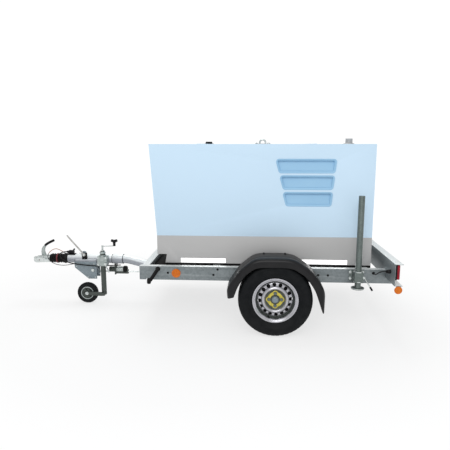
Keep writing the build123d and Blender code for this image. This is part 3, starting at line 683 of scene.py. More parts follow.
def hex_bolt(name: str, seat: Place, way: Place, corners: float, height: float) -> Piece:
    """Hexagon head on its washer.

    Args:
        name: name of the piece.
        seat: point on the surface under the washer.
        way: direction that the head points in.
        corners: size of the hexagon across its corners.
        height: height of the head.

    Returns:
        The bolt head with its washer.
    """
    seat, way = Vector(seat), Vector(way).normalized()
    washer = rod(name, seat, seat + way * height * 0.25, corners * 0.72, sides=24)
    head = rod(name, seat + way * height * 0.2, seat + way * height, corners / 2, sides=6)
    return soften(join(name, washer, head), height * 0.08, 1)


def done(piece: Piece, body: str, finish: Finish, *nodes: str) -> Piece:
    """Dress a finished piece and hang it on its body.

    Args:
        piece: the finished piece.
        body: name of the body it moves with.
        finish: its finish.
        nodes: frame nodes that it stands for.

    Returns:
        The piece.
    """
    if piece.type == "MESH":
        hold(piece)
        bpy.ops.object.shade_smooth_by_angle(angle=SMOOTH)
    piece.data.materials.clear()
    piece.data.materials.append(finish.material())
    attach(piece, body)
    if nodes:
        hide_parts(*nodes)
    LOG.info("%s rides on %s", piece.name, body)
    return piece


def both(piece: Piece, name: str, body: str, finish: Finish, *nodes: str) -> None:
    """Dress a left-hand piece and its copy on the right.

    Args:
        piece: the left-hand piece.
        name: name of the pair; a pair of braces in it, or in what follows, stands for the side.
        body: name of the body.
        finish: finish of both.
        nodes: frame nodes that they stand for.
    """
    for look, side in ((piece, Side.LEFT), (mirrored(piece, "right"), Side.RIGHT)):
        look.name = look.data.name = name.format(side.word)
        done(look, body.format(side.word), finish, *(node.format(side.word) for node in nodes))




# ---- studio ---------------------------------------------------------------------------------


@dataclass
class Studio:
    """Camera, floor and soft light, in metres."""

    eye: Place = (0.4895, -4.273, 1.497)
    tilt: float = 80.2
    turn: float = 3.42
    lens: float = 36.96
    world: float = 0.72
    backdrop: float = 1.05
    glow: tuple[float, float] = (0.70, 0.88)
    glow_reach: tuple[float, float] = (1.8, 6.0)
    floor_size: float = 60.0

    def build(self) -> None:
        """Set up everything round the trailer."""
        self.camera()
        self.sky()
        self.ground()
        self.softbox("light_overhead", (0.2, 2.0, 5.8), (0.2, 0.2, 0.0), 3.2, 150)
        self.softbox("light_front", (0.0, -6.5, 5.6), (0.0, 0.0, 0.6), 4.5, 205)
        bpy.context.scene.view_settings.view_transform = "Standard"

    def camera(self) -> None:
        """Camera at standing height, level with the canopy roof."""
        data = bpy.data.cameras.new("camera")
        data.lens = self.lens
        data.clip_end = 200
        camera = bpy.data.objects.new("camera", data)
        camera.location = self.eye
        camera.rotation_euler = (math.radians(self.tilt), 0, math.radians(self.turn))
        bpy.context.scene.camera = link(camera)

    def sky(self) -> None:
        """Even surroundings, white where they are seen and softer where they light."""
        world = bpy.data.worlds.new("surroundings")
        world.use_nodes = True
        seen = world.node_tree.nodes.new("ShaderNodeLightPath").outputs["Is Camera Ray"]
        feeds = {"Value": seen, "To Min": self.world, "To Max": self.backdrop}
        strength = add(world.node_tree, "MapRange", feeds).outputs["Result"]
        feeds = {"Color": (1, 1, 1, 1), "Strength": strength}
        feed(world.node_tree, world.node_tree.nodes["Background"], feeds)
        bpy.context.scene.world = world

    def ground(self) -> None:
        """Wide pale floor of translucent sheet, lit a little from below."""
        bpy.ops.object.select_all(action="DESELECT")
        bpy.ops.mesh.primitive_plane_add(size=self.floor_size)
        floor = bpy.context.active_object
        floor.name = "studio_floor"
        sheet = Finishes.floor.material()
        tree = sheet.node_tree
        away = add(tree, "VectorMath", {0: Effects.place(tree)}, operation="LENGTH").outputs["Value"]
        near, far = self.glow_reach
        low, high = self.glow
        feeds = {"Value": away, "From Min": near, "From Max": far, "To Min": low, "To Max": high}
        glow = add(tree, "MapRange", feeds).outputs["Result"]
        feed(tree, tree.nodes["Principled BSDF"], {"Emission Color": (1, 1, 1, 1),
        "Emission Strength": glow})
        floor.data.materials.append(sheet)

    def softbox(self, name: str, place: Place, aim: Place, size: float, power: float) -> None:
        """Square area light at a place, turned to a point, in metres and watts."""
        data = bpy.data.lights.new(name, "AREA")
        data.size = size
        data.energy = power
        light = link(bpy.data.objects.new(name, data))
        light.location = place
        light.rotation_euler = (Vector(aim) - Vector(place)).to_track_quat("-Z", "Y").to_euler()


# ---- cables ---------------------------------------------------------------------------------


@dataclass
class Cables:
    """Cables that the trailer holds at both ends."""

    tow_radius: float = 5
    breakaway_radius: float = 3
    lamp_radius: float = 4
    tow_route: Sequence[Place] = (
        (-1975, -4, 480), (-2010, -4, 480), (-2036, -36, 468), (-2022, -62, 436), (-1980, -66, 405),
        (-1925, -66, 384), (-1860, -67, 374), (-1795, -66, 366), (-1730, -66, 361), (-1668, -62, 357),
        (-1622, -46, 357), (-1565, -46, 359), (-1505, -47, 363), (-1440, -44, 366),
    )
    breakaway_route: Sequence[Place] = (
        (-1978, 16, 459), (-2006, 16, 459), (-2042, 6, 492), (-2085, -8, 514), (-2125, -32, 494),
        (-2148, -54, 458), (-2140, -63, 418), (-2106, -65, 388), (-2062, -63, 367), (-2010, -59, 358),
        (-1955, -57, 361), (-1893, -57, 374),
    )
    lamp_route: Sequence[Place] = (
        (792, -613, 480), (792, -639, 480), (794, -673, 488), (802, -708, 512), (824, -730, 530),
        (852, -730, 530),
    )

    def build(self) -> None:
        """Lay the three kinds of cable."""
        tow = line("tow_cable_run", self.tow_route, self.tow_radius)
        done(tow, "root", Finishes.rubber, "tow_cable")
        breakaway = line("breakaway_cable_run", self.breakaway_route, self.breakaway_radius)
        done(breakaway, "root", Finishes.sheath, "breakaway_cable")
        for side in Side:
            route = [(x, -side.value * y, z) for x, y, z in self.lamp_route]
            lamp = line(f"lamp_cable_{side.word}", route, self.lamp_radius)
            done(lamp, "root", Finishes.rubber, "lamp_cables")


# ---- wheels ---------------------------------------------------------------------------------


@dataclass
class RoadWheels:
    """Tyre, rim, drum, bolts and cap of both wheels; the left one is modelled and copied across."""

    radius: float = 295
    rim_lip: float = 182
    vent_radius: float = 15.5
    vent_circle: float = 123
    vents: int = 16
    vent_shift: float = 0.18
    bolt_circle: float = 50
    lug_count: int = 48
    tyre_steps: int = 240
    ring_steps: int = 128
    track: float = 1441

    @property
    def centre(self) -> Place:
        """Middle of the left tyre."""
        return (0, -self.track / 2, self.radius)

    def build(self) -> None:
        """Build the left wheel and copy each piece to the right."""
        for piece, part, finish, *nodes in (
            (self.tyre(), "tyre", Finishes.tyre, "tyre_{}"),
            (self.rim(), "rim", Finishes.wheel_silver, "rim_{}"),
            (self.drum(), "hub_drum", Finishes.drum, "hub_drum_{}"),
            (self.cap(), "hub_cap", Finishes.zinc_plate),
            (self.bowl(), "hub_bowl", Finishes.zinc_dark),
            (self.well(), "rim_well", Finishes.zinc_dark),
            (self.ring(), "bolt_ring", Finishes.yellow_zinc, "wheel_bolts_{}"),
            (self.bolts(), "wheel_bolt_heads", Finishes.zinc_tube),
            (self.valve(), "tyre_valve", Finishes.rubber),
            (self.balance_weight(), "balance_weight", Finishes.casting),
        ):
            both(piece, f"{part}_{{}}_look", "wheel_{}", finish, *nodes)

    def lathe(self, name: str, outline: Outline, steps: int) -> Piece:
        """Spin an outline about the wheel's axis, with distances outward from the tyre's middle."""
        return lathe(name, outline, self.centre, OUT, steps)

    def tyre(self) -> Piece:
        """Radial tyre with grooved tread, shoulder lugs and ribbed sidewalls."""
        wall = [
            (62.5, 166), (63, 178), (66, 186), (71, 190), (72.5, 193), (74, 198), (81, 209), (86.5, 221),
            (87.5, 222), (88.5, 224), (90.5, 232), (92, 240), (92.5, 247), (92, 255), (92.4, 256),
            (92.2, 259), (91, 260), (89.5, 267), (86, 275), (80.5, 283), (74, 288), (66, 291),
            (58, 292.6),
        ]
        tread = [
            (48, 293.8), (46.5, 286), (40.5, 286), (39, 294.2), (17, 295), (15.5, 287), (9.5, 287),
            (8, 295),
        ]
        inside = [(54, 173), (66, 192), (79, 215), (84, 240), (80, 262), (66, 279), (40, 284)]
        half = wall + tread
        outline = half + [(-x, r) for x, r in reversed(half)]
        outline += [(-x, r) for x, r in inside] + [(x, r) for x, r in reversed(inside)]
        piece = self.lathe("tyre", outline, self.tyre_steps)
        step = 2 * math.pi / self.tyre_steps
        every = self.tyre_steps // self.lug_count

        def sipe(centre: Vector) -> bool:
            """Pick the narrow strips between the tread lugs."""
            out = math.hypot(centre.x, centre.z - self.radius)
            across = abs(centre.y + self.track / 2)
            turn = math.atan2(centre.z - self.radius, centre.x) + (0 if across > 44 else 3 * step)
            strip = int((turn + 4 * math.pi) / step) % every == 0
            shoulder = 48 < across < 84 and out > 279
            rib = 17 < across < 39 and out > 292
            return strip and (shoulder or rib)

        return sink(piece, sipe, 5)

    def rim(self) -> Piece:
        """Steel rim with a rolled lip, a dished disc and a ring of rolled vents."""
        lip = self.rim_lip
        outline = [
            (66, lip - 1.5), (68.5, lip), (70.5, lip - 1.5), (71, lip - 5), (70, lip - 10),
            (67, lip - 14), (63.5, lip - 17), (62, lip - 20), (61, lip - 24), (56, lip - 26.5),
            (44, lip - 27.5), (34, lip - 29), (26, lip - 36), (12, lip - 41), (-26, lip - 41),
            (-38, lip - 21), (-66, lip - 20), (-66, lip), (-64, lip), (-63.5, 166), (-37, 165.3),
            (-26, 146), (14, 146), (27, 150), (38, 164.8), (60, 165.3), (63, 170), (64, lip - 6),
        ]
        barrel = self.lathe("rim", outline, 96)
        face = [
            (35, 29), (35, 62), (35.3, 72), (37, 77), (43, 81), (50, 85), (54.5, 90), (56, 96), (54, 102),
            (47, 108), (41, 113), (38.5, 124), (36, 133), (32, 139), (27, 143.5), (22, 147), (18, 149.5),
            (14, 151),
        ]
        back = [(14, 147), (20, 144), (27, 138), (31, 132), (33.5, 124), (36, 113), (41, 106.5), (47, 101)]
        back += [(50.5, 96), (49, 92), (44, 87), (37, 82), (31, 77), (30, 70), (30, 29)]
        disc = self.lathe("disc", face + back, 96)
        cutters = []
        for number in range(self.vents):
            turn = (number + self.vent_shift) * 2 * math.pi / self.vents
            start, end = (around(self.centre, self.vent_circle, turn, out) for out in (20, 70))
            cutters.append(rod("vent", start, end, self.vent_radius))
        cut(disc, join("vents", *cutters))
        soften(disc, 1.3, 2, 50)
        return join("rim", barrel, disc)

    def drum(self) -> Piece:
        """Brake drum behind the disc, with its cooling lip; near-black and wide enough to fill the vents, so
        that it also stands as painted shade seen through them.
        """
        outline = [
            (30, 0), (30, 66), (24, 74), (22, 90), (20, 128), (16, 133), (-20, 134), (-22, 136),
            (-26, 136), (-28, 134), (-34, 128), (-34, 0),
        ]
        return self.lathe("drum", outline, 64)

    def cap(self) -> Piece:
        """Pressed cap over the hub nut."""
        outline = [
            (31, 0), (31, 28), (46, 28), (48, 27.5), (50, 25.5), (54, 23), (56.5, 18), (58, 11), (58, 0),
        ]
        return self.lathe("cap", outline, 40)

    def bowl(self) -> Piece:
        """Dark face of the hub bowl under the plated ring, painted shade of the recess."""
        outline = [
            (34.4, 28.5), (35.6, 29), (35.6, 62), (36.2, 72), (38.6, 77.6), (42, 80.6), (41.4, 81),
            (37.6, 78.4), (34.4, 72),
        ]
        return self.lathe("bowl", outline, 64)

    def well(self) -> Piece:
        """Dark band in the groove between disc and rim, painted shade of the groove."""
        outline = [
            (18, 147), (26, 147.5), (34, 154), (50, 156.8), (50, 154.4), (34, 152), (26, 145),
            (18, 143.4),
        ]
        return self.lathe("well", outline, 96)

    def ring(self) -> Piece:
        """Plated ring with a lobe under each bolt."""
        turns = [number * 2 * math.pi / self.ring_steps for number in range(self.ring_steps)]
        lobe, waist, inner = 23, 62, 39

        def reach(turn: float) -> float:
            """Radius of the outer edge at an angle."""
            off = (turn + math.pi / 4) % (math.pi / 2) - math.pi / 4
            side = self.bolt_circle * math.sin(off)
            if abs(side) >= lobe:
                return waist
            return max(waist, self.bolt_circle * math.cos(off) + math.sqrt(lobe**2 - side**2))

        outer = loop("ring", [at(around(self.centre, reach(turn), turn, 35.2)) for turn in turns])
        inside = loop("ring_inside", [at(around(self.centre, inner, turn, 35.2)) for turn in turns])
        piece = join("ring", outer, inside)
        with edit(piece, "EDGE"):
            bpy.ops.mesh.bridge_edge_loops()
            bpy.ops.mesh.select_all(action="SELECT")
            bpy.ops.mesh.extrude_region_move(TRANSFORM_OT_translate={"value": (0, -3 * MM, 0)})
            face_out()
        return soften(piece, 0.8, 2, 50)

    def bolts(self) -> Piece:
        """Four wheel bolts with flanged hexagon heads."""
        feet = [around(self.centre, self.bolt_circle, number * math.pi / 2, 38) for number in range(4)]
        return join("bolts", *(hex_bolt("head", foot, OUT, 20, 12) for foot in feet))

    def valve(self) -> Piece:
        """Rubber valve stem with its cap."""
        turn = math.radians(-110)
        foot = around(self.centre, 150, turn, 40)
        lean = Vector((-4 * math.cos(turn), -18, -4 * math.sin(turn)))
        stem = rod("valve", foot - lean * 0.5, foot + lean, 6.5, 4, 16)
        tip = rod("valve", foot + lean * 0.9, foot + lean * 1.5, 4.5, 4.2, 12)
        return soften(join("valve", stem, tip), 0.6, 1)

    def balance_weight(self) -> Piece:
        """Clip-on weight at the lip."""
        points = [around(self.centre, 162, math.radians(204 + 4 * number), 62) for number in range(5)]
        return join("weight", *(rod("weight", *ends, 4, sides=12) for ends in zip(points, points[1:])))


# ---- mudguards ------------------------------------------------------------------------------


@dataclass
class Mudguards:
    """Moulded mudguards: a broken arch with a rounded shoulder, a raised bead and a side lip."""

    wall: float = 3.5
    corner: float = 0.30
    corner_steps: int = 5
    outer_y: float = -827
    arch: Outline = (
        (-377, 313), (-383, 392), (-286, 540), (-160, 641), (134, 641), (288, 536), (386, 385),
        (380, 208),
    )
    lip: Outline = (
        (-326, 324), (-296, 408), (-238, 502), (-148, 568), (122, 568), (230, 500), (306, 388),
        (366, 208),
    )
    section: Outline = (
        (1.0, 12), (1.0, 3), (0.93, 0.5), (0.80, 1.5), (0.66, 2.5), (0.56, 2.0), (0.50, 0.0),
        (0.40, -0.6), (0.31, 0.8), (0.22, 4.5), (0.12, 10.5), (0.05, 18), (0.01, 27), (0.0, 36),
        (0.0, 60), (0.0, 64), (0.03, 69), (0.03, 74), (0.0, 79), (0.0, 120), (0.0, 170), (0.0, 219),
    )

    def path(self, corners: Outline) -> list[Vector]:
        """Points along a broken line with rounded corners and split straights.

        Args:
            corners: corners of the line in X and Z.

        Returns:
            Points in order; two lines with as many corners have as many points.
        """
        spots = [Vector(corner) for corner in corners]
        points = [spots[0], spots[0].lerp(spots[1], 0.3)]
        for before, here, after in zip(spots, spots[1:], spots[2:]):
            start, end = here.lerp(before, self.corner), here.lerp(after, self.corner)
            for step in range(self.corner_steps + 1):
                share = step / self.corner_steps
                points.append(start.lerp(here, share).lerp(here.lerp(end, share), share))
            points.append(here.lerp(after, 0.5))
        return points[:-1] + [spots[-2].lerp(spots[-1], 0.6), spots[-1]]

    def build(self) -> None:
        """Mould the left guard, copy it across and fasten both."""
        crest, edge = self.path(self.arch), self.path(self.lip)
        rows, columns = len(crest), len(self.section)
        bpy.ops.mesh.primitive_grid_add(x_subdivisions=columns - 1, y_subdivisions=rows - 1, size=1)
        guard = settle("mudguard")
        order = sorted(range(rows * columns), key=lambda i: (
            round(guard.data.vertices[i].co.y, 5), round(guard.data.vertices[i].co.x, 5)
        ))
        for rank, index in enumerate(order):
            row, column = divmod(rank, columns)
            drop, inward = self.section[column]
            point = crest[row].lerp(edge[row], drop)
            guard.data.vertices[index].co = at((point.x, self.outer_y + inward, point.y))
        with edit(guard):
            face_out()
        outward = next(face.normal for face in guard.data.polygons if face.center.z > 0.62)
        if outward.z < 0:
            guard.data.flip_normals()
        modify(guard, "SOLIDIFY", thickness=self.wall * MM, offset=-1)
        modify(guard, "SUBSURF", levels=1, render_levels=1)
        bolts = [hex_bolt("guard_bolt", (x, y, 640), UP, 14, 4) for x in (-92, 78) for y in (-630, -660)]
        fixings = join("guard_bolts", *bolts)
        both(guard, "mudguard_{}_look", "root", Finishes.guard, "mudguard_{}")
        both(fixings, "mudguard_bolts_{}_look", "root", Finishes.plastic)


# ---- pieces whose frame shape is finished with rounded edges --------------------------------


@dataclass(frozen=True)
class Carried:
    """One frame node that is copied, merged and given rounded edges and a finish."""

    node: str
    finish: Finish
    edge: float
    segments: int = 2


@dataclass
class CarriedPieces:
    """Rolled, folded and welded parts whose shape comes straight from the frame."""

    rows: Sequence[Carried] = (
        Carried("side_member_left", Finishes.zinc, 1.8, 3),
        Carried("side_member_right", Finishes.zinc, 1.8, 3),
        Carried("crossmembers", Finishes.zinc, 1.5),
        Carried("rear_light_beam", Finishes.zinc, 1.6),
        Carried("drawbar_tube", Finishes.zinc_pale, 0.8),
        Carried("drawbar_mounts", Finishes.zinc_pale, 1.5),
        Carried("overrun_housing", Finishes.zinc_pale, 2.5, 3),
        Carried("overrun_side_plates", Finishes.zinc_plate, 1.5),
        Carried("brake_spring_cylinder", Finishes.zinc_dark, 1.5),
        Carried("housing_brackets", Finishes.drum, 1.2),
        Carried("jockey_clamp", Finishes.casting, 3.0, 3),
        Carried("axle_beam", Finishes.zinc, 3.0, 3),
        Carried("mudguard_struts", Finishes.zinc, 0.8),
        Carried("swing_arm_left", Finishes.zinc_plate, 2.0),
        Carried("swing_arm_right", Finishes.zinc_plate, 2.0),
        Carried("coupling_shaft", Finishes.shaft, 1.0),
        Carried("brake_relay_lever", Finishes.zinc_plate, 1.0),
        Carried("brake_rod", Finishes.bright_zinc, 0.8),
        Carried("jockey_outer_tube", Finishes.zinc_dark, 0.8),
        Carried("jockey_inner_tube", Finishes.zinc_dark, 0.4),
        Carried("jockey_fork", Finishes.zinc_dark, 1.5),
        Carried("prop_tube_left", Finishes.zinc_tube, 1.0),
        Carried("prop_tube_right", Finishes.zinc_tube, 1.0),
        Carried("prop_clamps", Finishes.zinc_tube, 2.5, 3),
        Carried("skid_base", Finishes.base_grey, 2.0),
        # Fork pocket lining that glows as painted light.
        Carried("fork_pockets", Finishes.pocket_white, 0.8),
        Carried("canopy_shell", Finishes.canopy_blue, 1.6, 3),
        Carried("exhaust", Finishes.exhaust, 1.2),
        Carried("rubber_mounts", Finishes.rubber, 2.0),
        Carried("engine", Finishes.engine, 3.0),
        Carried("alternator", Finishes.generator, 3.0),
        Carried("fuel_tank", Finishes.tank, 6.0, 3),
    )

    def build(self) -> None:
        """Copy, round, dress and hang each node."""
        bodies = frame["record"]["behaviour"]["bodies"]
        for row in self.rows:
            body = next(body for body, nodes in bodies.items() if row.node in nodes)
            done(from_node(row.node, row.edge, row.segments), body, row.finish, row.node)




# ---- coupling and overrun device ------------------------------------------------------------


@dataclass
class Coupling:
    """Ball coupling with its handle, the bellows and the fittings on the overrun housing."""

    shaft_z: float = 416
    bellows_front: float = -2132
    bellows_rear: float = -2000
    folds: int = 6
    fold_steps: int = 6
    fold_middle: float = 39.5
    fold_height: float = 5.5
    stroke: float = 80
    socket_x: float = -2256
    pivot_x: float = -2205
    pivot_z: float = 430
    handle_outline: Outline = (
        (-2216, 424), (-2228, 448), (-2230, 480), (-2224, 510), (-2210, 532), (-2192, 548), (-2178, 555),
        (-2170, 543), (-2184, 528), (-2194, 508), (-2196, 482), (-2186, 452), (-2188, 436), (-2196, 424),
    )

    def build(self) -> None:
        """Build the moving head, the handle, the bellows and the housing's fittings."""
        self.head()
        self.handle()
        self.bellows()
        self.housing_fittings()
        self.plug()

    def head(self) -> None:
        """Pressed head with a dome over the ball, two ribs, clamp bolts and a wear marker."""
        shell = from_node("coupling_head", 4.0, 3)
        done(shell, "coupling", Finishes.bright_zinc, "coupling_head")
        dome = lathe(
            "coupling_dome", [(422, 0), (422, 36), (424, 33.5), (425.6, 30), (426.8, 0)],
            (self.socket_x, 0, 0), UP, 40,
        )
        done(dome, "coupling", Finishes.bright_zinc)
        for side in Side:
            rib = slab(
                f"coupling_rib_{side.word}",
                [(-2288, 424), (-2280, 431), (-2240, 436), (-2232, 424)],
                (side.value * 30 - 2, side.value * 30 + 2),
            )
            done(soften(rib, 1, 2), "coupling", Finishes.bright_zinc)
            for number, x in enumerate((-2176, -2154)):
                bolt = hex_bolt(f"coupling_bolt_{side.word}_{number}", (x, side.value * 29, 416),
                                  (0, side.value, 0), 17, 9)
                done(bolt, "coupling", Finishes.casting)
        marker = rod("wear_marker", (-2238, -40, 404), (-2238, -46, 404), 5, 4, 16)
        done(soften(marker, 0.8), "coupling", Finishes.red_band)
        lip = lathe(
            "socket_lip", [(379, 27), (379, 41), (385, 44), (389, 43), (389, 27)],
            (self.socket_x, 0, 0), UP, 40,
        )
        done(lip, "coupling", Finishes.casting)

    def handle(self) -> None:
        """Broad pressed handle with a bent grip and its pivot bolt."""
        blade = soften(slab("coupling_handle_blade", self.handle_outline, (-9, 9)), 4, 3)
        pivot = rod("pivot", (self.pivot_x, -20, self.pivot_z), (self.pivot_x, 20, self.pivot_z), 4)
        blade = join("coupling_handle_blade", blade, pivot)
        done(blade, "coupling_lever", Finishes.casting, "coupling_handle")
        grip = tube(
            "coupling_grip",
            [(-2190, 0, 538), (-2180, 0, 549), (-2160, 0, 562), (-2130, 0, 577), (-2099, 0, 592)], 12,
        )
        done(soften(grip, 3, 3, 60), "coupling_lever", Finishes.plastic)

    def bellows(self) -> None:
        """Rubber bellows with its folds, and a clamp band."""
        length = self.bellows_rear - self.bellows_front
        count = self.folds * self.fold_steps
        crest = []
        for number in range(count + 1):
            turn = 2 * math.pi * number / self.fold_steps
            crest.append((length * number / count, self.fold_middle - self.fold_height * math.cos(turn)))
        outline = [(0, 26.5), *crest, (length, 26.5)]
        skin = lathe("bellows_skin", outline, (self.bellows_front, 0, self.shaft_z), AFT, 56)
        band = lathe(
            "bellows_band", [(60, 40), (60, 46.5), (62, 47.5), (70, 47.5), (72, 46.5), (72, 40)],
            (self.bellows_front, 0, self.shaft_z), AFT, 56,
        )
        done(skin, "root", Finishes.rubber, "bellows")
        done(band, "root", Finishes.red_band)
        for piece in (skin, band):
            at((self.bellows_rear, 0, self.shaft_z))
            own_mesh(piece)
        front = lathe(
            "bellows_front_ring", [(0, 26), (0, 36), (2, 38), (8, 38), (10, 36), (10, 26)],
            (self.bellows_front - 9, 0, self.shaft_z), AFT, 48,
        )
        done(front, "coupling", Finishes.rubber)

    def housing_fittings(self) -> None:
        """Clamp ring at the housing's mouth, grease nipples, rivets and the big plate bolt."""
        ring = lathe(
            "housing_ring", [(0, 42), (0, 47), (3, 49), (11, 49), (14, 47), (20, 44.5), (34, 44), (36, 42)],
            (self.bellows_rear + 2, 0, self.shaft_z), AFT, 56,
        )
        done(ring, "root", Finishes.rubber)
        for number, x in enumerate((-1850, -1620)):
            nipple = lathe(
                f"grease_nipple_{number}",
                [(0, 0), (0, 6), (4, 6), (5, 3.5), (10, 3), (12, 4), (14, 3), (15, 0)],
                (x, 0, self.shaft_z + 41), UP, 16,
            )
            done(nipple, "root", Finishes.bright_zinc)
        for side in Side:
            face = side.value * 52
            bolt = hex_bolt(f"plate_bolt_{side.word}", (-1710, side.value * 60, 314),
                              (0, side.value, 0), 22, 9)
            done(bolt, "root", Finishes.bright_zinc)
            rivets = [
                lathe(
                    "rivet", [(-1, 0), (-1, 6), (0.8, 5.4), (1.4, 3.5), (1.6, 0)], (x, face, z),
                    (0, side.value, 0), 20
                )
                for x, z in ((-1868, 372), (-1868, 348), (-1700, 372), (-1762, 244), (-1690, 244))
            ]
            done(join(f"plate_rivets_{side.word}", *rivets), "root", Finishes.bright_zinc)
        for number, x in enumerate((-1527, -1423)):
            seam = lathe(
                f"drawbar_seam_{number}", [(-2, 39), (-2, 45.4), (0, 46), (2, 45.4), (2, 39)],
                (x, 0, self.shaft_z), AFT, 48,
            )
            done(seam, "root", Finishes.drum)
        case = lathe(
            "spring_case", [(0, 8), (0, 22), (3, 26), (70, 26), (72, 24), (72, 8)], (-1571, 22, 308), AFT, 40
        )
        done(case, "root", Finishes.zinc_dark)
        outline = [(0, 10)]
        for turn in range(9):
            start = 7.6 * turn
            outline += [(start, 24), (start + 1.5, 28), (start + 5, 28), (start + 6.5, 24)]
        coil = lathe("spring_coil", [*outline, (69, 10)], (-1499, 22, 308), AFT, 40)
        done(coil, "root", Finishes.bright_zinc)
        end = lathe(
            "spring_end", [(0, 8), (0, 30), (4, 33), (26, 33), (34, 27), (36, 8)], (-1430, 22, 308), AFT, 40
        )
        done(end, "root", Finishes.drum)

    def plug(self) -> None:
        """Seven-pin plug parked in its holder, with a ribbed body and a cable boot."""
        body = lathe(
            "tow_plug_body",
            [
                (0, 0), (0, 9), (4, 10), (18, 12), (22, 16), (24, 18), (36, 18), (37, 17), (40, 17),
                (41, 18), (44, 18), (45, 17), (48, 17), (49, 18), (66, 18), (70, 16), (70, 0),
            ],
            (-1975, -4, 480), AFT, 40,
        )
        done(body, "root", Finishes.plastic, "tow_plug")
        flap = soften(block("plug_flap", (-1908, -20, 496), (-1900, 12, 512)), 2, 3)
        done(flap, "root", Finishes.plastic)


@dataclass
class Handbrake:
    """Handbrake lever with its boss, and the toothed quadrant beside it."""

    pivot: Place = (-1790, -56, 465)
    quadrant_radius: float = 32
    teeth: int = 11

    def build(self) -> None:
        """Build the lever and the quadrant."""
        x, y, z = self.pivot
        bar = tube(
            "handbrake_bar",
            [self.pivot, (-1806, -56.5, 485), (-1830, -57, 516), (-1888, -57, 583), (-1941, -57, 646)], 7.5,
        )
        boss = lathe(
            "boss", [(-8, 0), (-8, 9), (-6, 15), (6, 15), (8, 13), (8, 0)], self.pivot, ACROSS, 32
        )
        lever = join("handbrake_bar", soften(bar, 2, 3, 60), boss)
        done(lever, "handbrake", Finishes.lever_zinc, "handbrake_lever")
        bolt = hex_bolt("handbrake_bolt", (x, y - 8, z), OUT, 14, 7)
        done(bolt, "handbrake", Finishes.bright_zinc)
        button = rod("handbrake_button", (-1938, -57, 643), (-1946, -57, 652), 5, 4, 20)
        done(soften(button, 1, 2), "handbrake", Finishes.plastic)
        outline = [(x - 26, z - 14)]
        for number in range(2 * self.teeth + 1):
            turn = math.radians(165 - number * 110 / (2 * self.teeth))
            radius = self.quadrant_radius + (2.5 if number % 2 else 0)
            outline.append((x + radius * math.cos(turn), z + radius * math.sin(turn)))
        outline.append((x + 22, z - 14))
        quadrant = soften(slab("handbrake_quadrant", outline, (y + 11, y + 16)), 0.5, 1, 50)
        done(quadrant, "root", Finishes.zinc_plate)


# ---- jockey wheel ---------------------------------------------------------------------------


